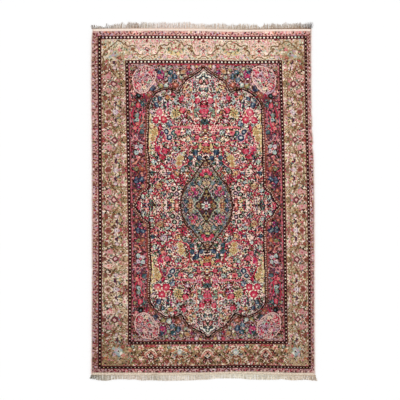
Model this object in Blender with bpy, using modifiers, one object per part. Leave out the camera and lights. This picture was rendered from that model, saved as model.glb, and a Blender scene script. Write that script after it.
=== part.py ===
"""A hand-knotted wool rug laid flat: pile, overcast side cords, flat-woven ends and cotton fringes.

Metres, +Z up. +X runs across the rug, +Y along it, and z = 0 is the surface it lies on. The rug was
woven by hand, so its sides and ends wander a few millimetres, as the station tables say.
"""

import math
import random

import bpy
from mathutils import Vector

# The pile is the knotted carpet itself: wool knots on a cotton foundation.
PILE_THICKNESS = 0.009
PILE_EDGE_ROUND = 0.0022
PILE_CORNER_RADIUS = 0.003
CORNER_STEPS = 3

# A bundle of warps is overcast with wool along each side.
SIDE_CORD_DIAMETER = 0.0078
SIDE_CORD_STEP = 0.055

# A flat-woven band closes each end, and a knotted row with loose warps hangs past it.
KILIM_WIDTH = 0.0145
KILIM_THICKNESS = 0.003
KNOT_ROW_WIDTH = 0.0045
FRINGE_THICKNESS = 0.0026

STRANDS_PER_END = 140
STRAND_ROOT_WIDTH = 0.0056
STRAND_MIDDLE_WIDTH = 0.0050
STRAND_END_WIDTH = 0.0038
STRAND_BENDS = (0.36, 0.82)
LENGTH_SCATTER = 0.10
LEAN_SCATTER = 0.0019
BEND_SCATTER = 0.0012
KNOT_SCATTER = 0.0009

GAP = 0.0003
EDGE_STEP = 0.045

# Where the outside of each side cord runs.
SIDE_COLUMNS = ("y", "left", "right")
SIDE_STATIONS = (
    (-1.090, -0.701, 0.702),
    (-0.870, -0.699, 0.700),
    (-0.495, -0.697, 0.699),
    (0.005, -0.697, 0.698),
    (0.255, -0.698, 0.694),
    (0.442, -0.699, 0.686),
    (0.630, -0.701, 0.680),
    (0.880, -0.702, 0.678),
    (1.080, -0.698, 0.679),
)

# Where the pile stops at the two ends.
END_COLUMNS = ("x", "bottom", "top")
END_STATIONS = (
    (-0.700, -1.0716, 1.0597),
    (-0.470, -1.0716, 1.0616),
    (-0.270, -1.0722, 1.0622),
    (-0.020, -1.0703, 1.0609),
    (0.180, -1.0647, 1.0559),
    (0.355, -1.0659, 1.0578),
    (0.545, -1.0722, 1.0603),
    (0.700, -1.0728, 1.0609),
)

# How far the loose warps reach past the knotted row, and how far their tips lean towards +X.
FRINGE_COLUMNS = ("x", "length", "lean")
TOP_FRINGE = (
    (-0.700, 0.012, -0.0075),
    (-0.645, 0.015, -0.0040),
    (-0.570, 0.023, 0.0030),
    (-0.490, 0.034, 0.0040),
    (-0.400, 0.037, -0.0030),
    (-0.240, 0.038, 0.0025),
    (-0.080, 0.036, -0.0020),
    (0.080, 0.031, 0.0030),
    (0.185, 0.023, 0.0015),
    (0.265, 0.026, -0.0030),
    (0.345, 0.018, 0.0020),
    (0.420, 0.029, 0.0035),
    (0.515, 0.035, -0.0030),
    (0.610, 0.030, 0.0030),
    (0.700, 0.034, 0.0045),
)
BOTTOM_FRINGE = (
    (-0.700, 0.019, -0.0085),
    (-0.655, 0.029, -0.0045),
    (-0.590, 0.030, 0.0020),
    (-0.520, 0.025, -0.0020),
    (-0.430, 0.030, 0.0030),
    (-0.260, 0.030, -0.0025),
    (-0.110, 0.030, 0.0020),
    (0.030, 0.029, 0.0040),
    (0.150, 0.027, -0.0020),
    (0.370, 0.024, 0.0030),
    (0.455, 0.028, -0.0015),
    (0.490, 0.024, 0.0025),
    (0.600, 0.028, 0.0040),
    (0.700, 0.030, 0.0120),
)


def clear_scene():
    for item in list(bpy.data.objects):
        bpy.data.objects.remove(item, do_unlink=True)


def wool_or_cotton(name, colour, roughness):
    material = bpy.data.materials.new(name)
    material.use_nodes = True
    shader = material.node_tree.nodes["Principled BSDF"]
    shader.inputs["Base Color"].default_value = (*colour, 1.0)
    shader.inputs["Roughness"].default_value = roughness
    shader.inputs["Metallic"].default_value = 0.0
    return material


def follow(stations, columns, column, at):
    """One column of a table at any distance, on a Catmull-Rom curve through its rows."""
    place = columns.index(column)
    last = len(stations) - 1
    start = 0
    while start < last - 1 and at > stations[start + 1][0]:
        start += 1
    rows = [stations[min(max(start + step, 0), last)] for step in (-1, 0, 1, 2)]
    before, here, after, beyond = (row[place] for row in rows)
    span = rows[2][0] - rows[1][0]
    t = min(max((at - rows[1][0]) / span, 0.0), 1.0)
    slope_here = (after - before) / 2
    slope_after = (beyond - here) / 2
    return (
        (2 * t**3 - 3 * t**2 + 1) * here
        + (t**3 - 2 * t**2 + t) * slope_here
        + (3 * t**2 - 2 * t**3) * after
        + (t**3 - t**2) * slope_after
    )


def side(column, y):
    return follow(SIDE_STATIONS, SIDE_COLUMNS, column, y)


def end(column, x):
    return follow(END_STATIONS, END_COLUMNS, column, x)


def steps_between(first, last, step):
    count = max(1, round(abs(last - first) / step))
    return [first + (last - first) * i / count for i in range(count + 1)]


def flat_piece(name, outline, thickness, material, collection):
    """A closed flat outline with its underside at z = 0, extruded to its thickness."""
    curve = bpy.data.curves.new(name, "CURVE")
    curve.dimensions = "2D"
    curve.fill_mode = "BOTH"
    curve.extrude = thickness / 2
    spline = curve.splines.new("POLY")
    spline.points.add(len(outline) - 1)
    spline.use_cyclic_u = True
    for point, (x, y) in zip(spline.points, outline):
        point.co = (x, y, 0.0, 1.0)
    curve.materials.append(material)
    piece = bpy.data.objects.new(name, curve)
    piece.location.z = thickness / 2
    collection.objects.link(piece)
    return piece


def comb_piece(name, outline, material, collection):
    """The fringe in plan as one open face, anticlockwise, which Solidify thickens up from z = 0."""
    mesh = bpy.data.meshes.new(name)
    mesh.from_pydata([(x, y, 0.0) for x, y in outline], [], [range(len(outline))])
    mesh.materials.append(material)
    piece = bpy.data.objects.new(name, mesh)
    thickness = piece.modifiers.new("thickness", "SOLIDIFY")
    thickness.thickness = FRINGE_THICKNESS
    thickness.offset = 1.0
    collection.objects.link(piece)


def rounded_corner(centre, first_angle):
    """Points of a quarter circle, anticlockwise from first_angle."""
    turn = math.pi / 2
    return [
        (
            centre[0] + PILE_CORNER_RADIUS * math.cos(first_angle + turn * i / CORNER_STEPS),
            centre[1] + PILE_CORNER_RADIUS * math.sin(first_angle + turn * i / CORNER_STEPS),
        )
        for i in range(CORNER_STEPS + 1)
    ]


def pile_sides(y):
    """The pile's own left and right edge, inside the cords."""
    inset = SIDE_CORD_DIAMETER + GAP
    return side("left", y) + inset, side("right", y) - inset


def corner_centre(column, place):
    """Where a rounded corner of the pile is centred: place 0 is the left corner and 1 the right."""
    x = pile_sides(end(column, 0.0))[place]
    across = PILE_CORNER_RADIUS if place == 0 else -PILE_CORNER_RADIUS
    along = PILE_CORNER_RADIUS if column == "bottom" else -PILE_CORNER_RADIUS
    return x + across, end(column, x) + along


def end_run(column, start, stop):
    """Points along one end of the pile, between two corners."""
    return [(x, end(column, x)) for x in steps_between(start[0], stop[0], EDGE_STEP)[1:-1]]


def side_run(place, start, stop):
    """Points along one side of the pile, between two corners."""
    return [(pile_sides(y)[place], y) for y in steps_between(start[1], stop[1], EDGE_STEP)[1:-1]]


def make_pile(material, collection):
    low_left, low_right = corner_centre("bottom", 0), corner_centre("bottom", 1)
    top_left, top_right = corner_centre("top", 0), corner_centre("top", 1)
    outline = rounded_corner(low_left, math.pi) + end_run("bottom", low_left, low_right)
    outline += rounded_corner(low_right, -math.pi / 2) + side_run(1, low_right, top_right)
    outline += rounded_corner(top_right, 0.0) + end_run("top", top_right, top_left)
    outline += rounded_corner(top_left, math.pi / 2) + side_run(0, top_left, low_left)
    pile = flat_piece("knotted_pile", outline, PILE_THICKNESS, material, collection)
    weld = pile.modifiers.new("join_faces", "WELD")
    weld.merge_threshold = 0.00005
    bevel = pile.modifiers.new("worn_edge", "BEVEL")
    bevel.width = PILE_EDGE_ROUND
    bevel.segments = 2
    bevel.limit_method = "ANGLE"
    bevel.angle_limit = math.radians(60)


def make_side_cord(name, column, inward, material, collection):
    """A round overcast cord beside the pile, as long as the pile and both flat-woven ends."""
    reach = KILIM_WIDTH + GAP
    edge_x = side(column, 0.0)
    first, last = end("bottom", edge_x) - reach, end("top", edge_x) + reach
    radius = SIDE_CORD_DIAMETER / 2
    curve = bpy.data.curves.new(name, "CURVE")
    curve.dimensions = "3D"
    curve.bevel_depth = radius
    curve.bevel_resolution = 2
    curve.use_fill_caps = True
    path = steps_between(first, last, SIDE_CORD_STEP)
    spline = curve.splines.new("POLY")
    spline.points.add(len(path) - 1)
    for point, y in zip(spline.points, path):
        point.co = (side(column, y) + inward * radius, y, 0.0, 1.0)
    curve.materials.append(material)
    cord = bpy.data.objects.new(name, curve)
    cord.location.z = radius
    collection.objects.link(cord)


def end_line(column, outward, distance):
    """Function giving the line that runs a fixed distance past the pile's end."""
    return lambda x: end(column, x) + outward * distance


def make_kilim_end(name, column, outward, material, collection):
    inner = end_line(column, outward, GAP)
    outer = end_line(column, outward, GAP + KILIM_WIDTH)
    y = end(column, 0.0)
    left, right = pile_sides(y)
    xs = steps_between(left, right, EDGE_STEP)
    outline = [(x, inner(x)) for x in xs] + [(x, outer(x)) for x in reversed(xs)]
    flat_piece(name, outline, KILIM_THICKNESS, material, collection)


def strand_outline(root_x, root_line, outward, length, lean, bend, knot):
    """One loose warp bundle in plan: up its left side, over its tip and down its right side.

    The bundle leaves the row at its own knot, a little proud of the line of the others."""
    widths = (STRAND_ROOT_WIDTH, STRAND_MIDDLE_WIDTH, STRAND_END_WIDTH)
    left, right = [], []
    for t, width in zip((0.0, *STRAND_BENDS), widths):
        middle = root_x + lean * t**1.5 + bend * math.sin(math.pi * t)
        for edge, points in ((-width / 2, left), (width / 2, right)):
            x = middle + edge
            points.append((x, root_line(root_x + edge) + outward * (knot + length * t)))
    tip = (root_x + lean, root_line(root_x) + outward * (knot + length))
    return left + [tip] + right[::-1]


def make_fringe(name, column, outward, table, seed, material, collection):
    """A knotted row along the flat-woven end, with every loose warp bundle growing out of it."""
    rng = random.Random(seed)
    root_line = end_line(column, outward, KILIM_WIDTH + KNOT_ROW_WIDTH + 2 * GAP)
    inner = end_line(column, outward, KILIM_WIDTH + 2 * GAP)
    y = end(column, 0.0)
    left, right = side("left", y), side("right", y)
    pitch = (right - left) / STRANDS_PER_END
    outline = [(x, inner(x)) for x in steps_between(right, left, EDGE_STEP)]
    for i in range(STRANDS_PER_END):
        x = left + (i + 0.5) * pitch
        length = follow(table, FRINGE_COLUMNS, "length", x)
        length *= 1.0 + rng.uniform(-LENGTH_SCATTER, LENGTH_SCATTER)
        lean = follow(table, FRINGE_COLUMNS, "lean", x) + rng.uniform(-LEAN_SCATTER, LEAN_SCATTER)
        bend = rng.uniform(-BEND_SCATTER, BEND_SCATTER)
        knot = rng.uniform(0.0, KNOT_SCATTER)
        outline += strand_outline(x, root_line, outward, length, lean, bend, knot)
    comb_piece(name, outline if outward < 0 else outline[::-1], material, collection)


def centre_on_floor(collection):
    """Puts the middle of the whole rug's box over the origin, by moving the empty that carries it."""
    bpy.context.view_layer.update()
    depsgraph = bpy.context.evaluated_depsgraph_get()
    points = []
    for piece in collection.objects:
        solid = piece.evaluated_get(depsgraph)
        mesh = solid.to_mesh()
        points += [piece.matrix_world @ vertex.co for vertex in mesh.vertices]
        solid.to_mesh_clear()
    middle = [(min(p[axis] for p in points) + max(p[axis] for p in points)) / 2 for axis in (0, 1)]
    rug = bpy.data.objects.new("rug", None)
    bpy.context.scene.collection.objects.link(rug)
    for piece in collection.objects:
        piece.parent = rug
    rug.location = Vector((-middle[0], -middle[1], 0.0))


def main():
    clear_scene()
    collection = bpy.data.collections.new("persian_rug")
    bpy.context.scene.collection.children.link(collection)
    wool = wool_or_cotton("wool_pile", (0.48, 0.33, 0.27), 0.95)
    overcast = wool_or_cotton("overcast_wool", (0.62, 0.50, 0.46), 0.92)
    flatweave = wool_or_cotton("flatwoven_cotton", (0.74, 0.64, 0.55), 0.9)
    cotton = wool_or_cotton("fringe_cotton", (0.70, 0.66, 0.58), 0.88)
    make_pile(wool, collection)
    make_side_cord("side_cord_left", "left", 1, overcast, collection)
    make_side_cord("side_cord_right", "right", -1, overcast, collection)
    make_kilim_end("kilim_end_top", "top", 1, flatweave, collection)
    make_kilim_end("kilim_end_bottom", "bottom", -1, flatweave, collection)
    make_fringe("fringe_top", "top", 1, TOP_FRINGE, 11, cotton, collection)
    make_fringe("fringe_bottom", "bottom", -1, BOTTOM_FRINGE, 29, cotton, collection)
    centre_on_floor(collection)


main()
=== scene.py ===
import bpy
import numpy as np
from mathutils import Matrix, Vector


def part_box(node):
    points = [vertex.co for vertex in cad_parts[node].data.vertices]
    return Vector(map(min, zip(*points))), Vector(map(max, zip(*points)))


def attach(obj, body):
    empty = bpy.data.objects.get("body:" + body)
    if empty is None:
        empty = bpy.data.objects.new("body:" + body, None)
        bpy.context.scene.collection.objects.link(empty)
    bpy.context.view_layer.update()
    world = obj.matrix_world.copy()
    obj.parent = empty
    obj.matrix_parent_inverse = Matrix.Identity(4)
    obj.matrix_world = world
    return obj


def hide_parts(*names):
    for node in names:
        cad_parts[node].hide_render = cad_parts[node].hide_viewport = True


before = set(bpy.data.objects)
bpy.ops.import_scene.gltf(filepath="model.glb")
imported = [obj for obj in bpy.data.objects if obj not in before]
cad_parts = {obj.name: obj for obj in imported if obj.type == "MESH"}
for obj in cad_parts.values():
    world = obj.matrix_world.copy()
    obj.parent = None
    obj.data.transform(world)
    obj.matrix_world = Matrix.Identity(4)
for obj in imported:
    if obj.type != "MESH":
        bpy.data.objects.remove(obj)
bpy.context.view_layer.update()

# The pattern is drawn as a knotted rug's is: on a chart ruled in squares of 4 x 4 knots, one yarn a knot.
# Places on it are in squares from the middle of the medallion, u across and v towards the ragged fringe.

chartSize = {
    "square": 0.00625,  # metres on the rug for one ruled square
    "knotsPerSquare": 4,
    "halfWide": 111,  # squares from the middle to the side of the pile
    "halfLong": 171,
    "innerGuard": (75.75, 139.0),  # where each dark guard begins, across and along
    "outerGuard": (103.0, 163.5),
    "guardWidth": 3.75,
    "pearlPitch": 3.66,
    "pearlRadii": (0.54, 0.84, 0.5),  # down the sides, along the ragged end, along the dense end
    "seed": 41,
}
knots = chartSize["knotsPerSquare"]
halfWide, halfLong = chartSize["halfWide"], chartSize["halfLong"]
guardWidth = chartSize["guardWidth"]

yarns = {  # dyed wool, as sRGB
    "ivory": (243, 221, 203), "oat": (228, 206, 178), "pink": (228, 188, 176), "rose": (198, 100, 112),
    "coral": (210, 132, 114), "red": (178, 40, 66), "ruby": (126, 28, 44), "plum": (152, 46, 98),
    "rust": (140, 68, 52), "orange": (188, 108, 70), "gold": (190, 150, 100), "hay": (216, 188, 134),
    "moss": (132, 112, 70), "tan": (120, 90, 62), "bark": (68, 35, 27), "black": (26, 11, 8),
    "navy": (38, 46, 66), "slate": (90, 104, 120), "sky": (158, 168, 168), "teal": (42, 72, 75),
    "green": (46, 56, 40), "sage": (132, 142, 112), "mint": (178, 188, 164), "umber": (126, 82, 68),
    "iris": (186, 156, 168), "grape": (76, 42, 60), "white": (240, 230, 214), "dust": (194, 148, 142),
    "sand": (192, 162, 132), "fawn": (166, 134, 102), "ash": (108, 120, 116), "wine": (112, 50, 56),
}
yarnNumber = {name: place for place, name in enumerate(yarns)}
paler = dict(pair.split() for pair in """
    red rose, rose coral, ruby red, navy slate, slate sky, teal slate, gold hay, rust umber,
    coral pink, ash sage, sage mint, orange gold, plum rose, grape plum, moss sage,
    green sage, bark rust, hay oat, fawn sand, tan fawn, sky mint, iris pink
""".split(","))  # the lighter yarn used on every third petal


def blankChart(wide, high, lowV, ground):
    # Wide by high squares up from lowV and right from the middle line, all in one yarn and free to fill.
    size = (high * knots, wide * knots)
    return {"lowV": lowV, "yarn": np.full(size, yarnNumber[ground], np.uint8), "free": np.ones(size, bool)}


def knotsNear(chart, u, v, reach):
    # The part of the chart within reach of a place, and each knot's distance from it across and along.
    rows, columns = chart["yarn"].shape
    left = max(0, int((u - reach) * knots))
    right = max(left, min(columns, int((u + reach) * knots) + 2))
    low = max(0, int((v - reach - chart["lowV"]) * knots))
    high = max(low, min(rows, int((v + reach - chart["lowV"]) * knots) + 2))
    across = (np.arange(left, right) + 0.5) / knots - u
    along = (np.arange(low, high) + 0.5) / knots + chart["lowV"] - v
    return (slice(low, high), slice(left, right)), across[None, :], along[:, None]


def tie(chart, part, mask, yarn):
    chart["yarn"][part][mask] = yarnNumber[yarn]
    chart["free"][part][mask] = False


def compass(turn):
    return np.cos(np.radians(turn)), np.sin(np.radians(turn))


def disc(chart, u, v, radius, yarn, stretch=1.0, turn=0.0):
    # A round or oval patch: (x / radius)^2 + (y / (radius * stretch))^2 under 1, turned by degrees.
    part, x, y = knotsNear(chart, u, v, radius * max(1.0, stretch))
    c, s = compass(turn)
    along, across = (x * c + y * s) / radius, (y * c - x * s) / (radius * stretch)
    tie(chart, part, along**2 + across**2 < 1.0, yarn)


def lozenge(chart, u, v, reach, yarn):
    # A diamond: |x| + |y| under its reach.
    part, x, y = knotsNear(chart, u, v, reach)
    tie(chart, part, np.abs(x) + np.abs(y) < reach, yarn)


def rosette(chart, u, v, radius, petals, yarn, depth=0.3, turn=0.0):
    # A flower's outline: the radius falls by depth between petals, as |cos| of half the petal angle.
    part, x, y = knotsNear(chart, u, v, radius)
    swell = np.abs(np.cos((np.arctan2(y, x) - np.radians(turn)) * petals / 2.0))
    tie(chart, part, np.hypot(x, y) < radius * (1.0 - depth + depth * swell), yarn)


def leaf(chart, u, v, length, width, turn, yarn, rib=None):
    # A pointed leaf: half its width times 1 - (2 x / length)^2 on each side of its rib.
    part, x, y = knotsNear(chart, u, v, length / 2)
    c, s = compass(turn)
    along, across = x * c + y * s, y * c - x * s
    room = 1.0 - (2.0 * along / length) ** 2
    tie(chart, part, np.abs(across) < width / 2 * room, yarn)
    if rib:
        tie(chart, part, (np.abs(across) < 0.16) & (room > 0.25), rib)


def places(text, wide=2):
    # Rows of numbers, such as u and v.
    return np.array(text.replace(",", " ").split(), float).reshape(-1, wide)


def smoothPath(points, step):
    # Places every step squares along a Catmull-Rom curve through the points.
    points = np.asarray(points, float)
    padded = np.vstack([2 * points[0] - points[1], points, 2 * points[-1] - points[-2]])
    runs = []
    for before, here, after, beyond in zip(padded, padded[1:], padded[2:], padded[3:]):
        count = max(2, int(np.hypot(*(after - here)) / step) + 1)
        t = np.linspace(0.0, 1.0, count, endpoint=False)[:, None]
        square = 2 * before - 5 * here + 4 * after - beyond
        runs.append(0.5 * (2 * here + (after - before) * t + square * t**2
                           + (3 * here - before - 3 * after + beyond) * t**3))
    return np.vstack(runs + [points[-1:]])


def vine(chart, points, width, yarn, gap=0.0):
    # A curved line, tied as overlapping round patches. A gap makes it dotted.
    path = smoothPath(points, 0.12)
    if gap:
        walked = np.concatenate([[0.0], np.cumsum(np.hypot(*np.diff(path, axis=0).T))])
        path = path[np.searchsorted(walked, np.arange(gap / 2, walked[-1], gap))]
    for u, v in path:
        disc(chart, u, v, width / 2, yarn)


def beside(points, distance):
    # A curve moved sideways: away from the chart's middle, for a line that falls as it goes across.
    path = smoothPath(points, 0.4)
    along = np.gradient(path, axis=0)
    along /= np.linalg.norm(along, axis=1, keepdims=True)
    return path + distance * np.stack([-along[:, 1], along[:, 0]], axis=1)


def softNoise(shape, cell, dice):
    # Smooth random numbers: a coarse grid of normal ones, read in straight lines between its places.
    grid = dice.normal(size=(shape[0] // cell + 2, shape[1] // cell + 2))
    rows, columns = np.arange(shape[0]) / cell, np.arange(shape[1]) / cell
    i, j = rows.astype(int), columns.astype(int)
    up, across = (rows - i)[:, None], (columns - j)[None, :]
    below = grid[i][:, j] * (1 - across) + grid[i][:, j + 1] * across
    above = grid[i + 1][:, j] * (1 - across) + grid[i + 1][:, j + 1] * across
    return below * (1 - up) + above * up


def inside(chart, outline):
    # Which knots lie inside an outline: a ray to the side crosses its edges an odd number of times.
    rows, columns = chart["yarn"].shape
    u = ((np.arange(columns) + 0.5) / knots)[None, :]
    v = ((np.arange(rows) + 0.5) / knots + chart["lowV"])[:, None]
    odd = np.zeros((rows, columns), bool)
    for (u0, v0), (u1, v1) in zip(outline, np.roll(outline, -1, axis=0)):
        if v0 != v1:
            odd ^= ((v0 > v) != (v1 > v)) & (u < (u1 - u0) * (v - v0) / (v1 - v0) + u0)
    return odd


def strip(chart, u0, v0, u1, v1, yarn):
    # A plain rectangle, left free to fill.
    left, right = (max(0, round(u * knots)) for u in (u0, u1))
    low, high = (max(0, round((v - chart["lowV"]) * knots)) for v in (v0, v1))
    chart["yarn"][low:high, left:right] = yarnNumber[yarn]
    chart["free"][low:high, left:right] = True


flowerShape = {  # shares of the flower's radius, the slips across and along
    "edge": 1.12,
    "edgeSlip": (0.16, -0.2),
    "middle": 0.6,
    "reach": (0.64, 0.56),  # from the middle to each petal, by turns
    "roundPetal": 0.36,
    "petalLength": 1.1,
    "petalWidth": 4.4,  # over the number of petals and one
    "inner": 0.46,
    "innerSlip": (-0.1, 0.14),
    "eye": 0.2,
    "eyeSlip": (-0.06, 0.06),
    "smallestEye": 0.32,  # squares
}


def slipped(u, v, radius, name):
    across, along = flowerShape[name]
    return u + radius * across, v + radius * along


def bloom(chart, u, v, radius, outer, inner=None, eye=None, petals=6, edge=None, turn=0.0):
    # A flower from above: round petals over a dark one-sided edge, an inner ring and an eye off its middle.
    if edge:
        rosette(chart, *slipped(u, v, radius, "edgeSlip"), radius * flowerShape["edge"], petals, edge,
                turn=turn)
    rosette(chart, u, v, radius * flowerShape["middle"], petals, outer, 0.3, turn)
    for petal in range(petals):
        c, s = compass(turn + 360.0 * petal / petals)
        reach = radius * flowerShape["reach"][petal % 2]
        yarn = paler.get(outer, outer) if petal % 3 == 1 and radius > 1.2 else outer
        if radius > 1.7:
            disc(chart, u + c * reach, v + s * reach, radius * flowerShape["roundPetal"], yarn, 1.2,
                 turn + 70.0 * petal)
        else:
            leaf(chart, u + c * reach, v + s * reach, radius * flowerShape["petalLength"],
                 radius * flowerShape["petalWidth"] / (petals + 1), turn + 360.0 * petal / petals, yarn)
    if inner:
        rosette(chart, *slipped(u, v, radius, "innerSlip"), radius * flowerShape["inner"], petals, inner, 0.3,
                turn + 180.0 / petals)
    if eye:
        eyeSize = max(flowerShape["smallestEye"], radius * flowerShape["eye"])
        disc(chart, *slipped(u, v, radius, "eyeSlip"), eyeSize, eye)


def ringHead(chart, u, v, radius, ring, middle, eye):
    # A round flower in rings on a pale ground.
    rosette(chart, u, v, radius * 1.4, 8, "pink", 0.2)
    for share, yarn in ((1.12, ring), (0.5, middle), (0.18, eye)):
        disc(chart, u, v, radius * share, yarn)


def roseHead(chart, u, v, radius, outer, inner, middle):
    # A full rose: a dark edge of petals, a lighter ring inside it and a pale heart.
    rosette(chart, u, v, radius * 1.3, 7, "ivory", 0.4, 15.0)
    rosette(chart, u + radius * 0.14, v - radius * 0.18, radius * 1.08, 8, "ruby", 0.25)
    rosette(chart, u, v, radius, 8, outer, 0.2)
    rosette(chart, u, v, radius * 0.54, 6, inner, 0.2)
    rosette(chart, u, v, radius * 0.4, 5, outer, 0.2, 20.0)
    disc(chart, u, v, radius * 0.24, middle)


def sunHead(chart, u, v, radius, outer, inner, eye):
    # A yellow head: broad petals with dark leaves and pink tips let in between them.
    bloom(chart, u, v, radius, outer, inner, None, 7, "sage")
    for petal in range(7):
        turn = petal * 360.0 / 7 + 20.0
        c, s = compass(turn)
        leaf(chart, u + c * radius * 0.6, v + s * radius * 0.6, radius * 0.8, radius * 0.26, turn, eye)
        disc(chart, u + c * radius * 1.05, v + s * radius * 1.05, 0.6, "coral" if petal % 2 else "oat")
    disc(chart, u, v, radius * 0.2, "rust")


def sprig(chart, u, v, turn, size, stem, leaves, bud):
    # A short stem with two leaves and a bud.
    c, s = compass(turn)
    vine(chart, [(u, v), (u + c * size, v + s * size)], 0.3, stem)
    for side in (-50.0, 50.0):
        leanC, leanS = compass(turn + side)
        leaf(chart, u + c * size * 0.45 + leanC * size * 0.3, v + s * size * 0.45 + leanS * size * 0.3,
             size * 0.7, size * 0.3, turn + side, leaves)
    disc(chart, u + c * size, v + s * size, size * 0.24, bud)


def dyeNames(text):
    # The yarns of a motif from the outside in, parted by slashes, with a dash or nothing where there is none.
    return [None if name == "-" else name for name in (text + "/-/-/-").split("/")[:4]]


def draw(chart, strokes, flip=1):
    # Strokes parted by commas: what is drawn, its yarns, then the numbers it takes. Flip -1 turns them over.
    for stroke in strokes.split(","):
        kind, names, *numbers = stroke.split()
        outer, inner, eye, edge = dyeNames(names)
        numbers = [float(number) for number in numbers]
        u, v, size, *more = numbers
        v *= flip
        if kind == "disc":
            disc(chart, u, v, size, outer, *more)
        elif kind == "lozenge":
            lozenge(chart, u, v, size, outer)
        elif kind == "leaf":
            leaf(chart, u, v, size, more[0], flip * more[1], outer, inner)
        elif kind == "bloom":
            bloom(chart, u, v, size, outer, inner, eye, int(more[0]), edge, *more[1:])
        elif kind == "strip":
            strip(chart, *numbers, outer)
        elif kind == "patch":
            tie(chart, slice(None), inside(chart, np.reshape(numbers, (-1, 2))), outer)
        else:
            width, gap = numbers.pop(0), numbers.pop(0) if kind == "dots" else 0.0
            vine(chart, np.reshape(numbers, (-1, 2)) * (1, flip), width, outer, gap)


def drawFlowers(chart, table, dice):
    # Flowers parted by commas: the kind of head unless it is a plain bloom, its yarns, its place and radius.
    heads = {"ring": ringHead, "rose": roseHead, "sun": sunHead}
    for row in table.split(","):
        *kind, names, u, v, radius = row.split()
        outer, inner, eye, _ = dyeNames(names)
        u, v, radius = float(u), float(v), float(radius)
        if kind:
            heads[kind[0]](chart, u, v, radius, outer, inner, eye)
        else:
            petals = int(dice.integers(5, 8)) if radius > 1.8 else 5
            edge = str(dice.choice(["bark", "green", "black", "black", "wine"]))
            bloom(chart, u, v, radius, outer, inner, eye, petals, edge, dice.uniform(0.0, 60.0))


fieldLines = {  # one quarter of the field; the other three mirror it
    "medallion": places("""
    0 46.5, 1.6 43.6, 4 40.6, 6 37.8, 8.5 34.2, 11.2 30.8, 13 28, 15 25.2, 17.6 23.2, 20 20.8, 22.2 17.8,
    23.2 15, 24 12, 25.2 8, 26 4, 26.4 0"""),
    "star": places("""
    0 19.2, 2 16, 4 12.2, 6 8.8, 8.4 5.6, 11.2 3.2, 12.8 0"""),
    "scallop": places("""
    0 136.4, 2 134.6, 5.4 131.4, 10 128.6, 14 126.4, 18 124.2, 21.6 120.6, 24.4 116.6, 26.2 113,
    28.2 112.4, 31 114, 35 114.8, 40 114.6, 44.5 113, 49 110.6, 52.8 107.4, 55.6 103.6, 57.6 99.4,
    58.6 95, 58.7 88, 58.6 60, 58.5 34, 58.4 22, 59.2 18.4, 61.8 15.6, 65.6 13, 67.8 9.2, 70.4 5.6,
    73 2.4, 74.6 0"""),
    "cartouche": places("""
    49 131, 48.8 126, 50.4 121, 53.4 117.2, 56.8 113.4, 60.6 110.8, 65 110.2, 69 112.4, 71.2 116.4,
    72 122, 71.4 127.2, 69 131.4, 65 134.8, 60 136.4, 54 136, 50.6 134"""),
}

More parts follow.
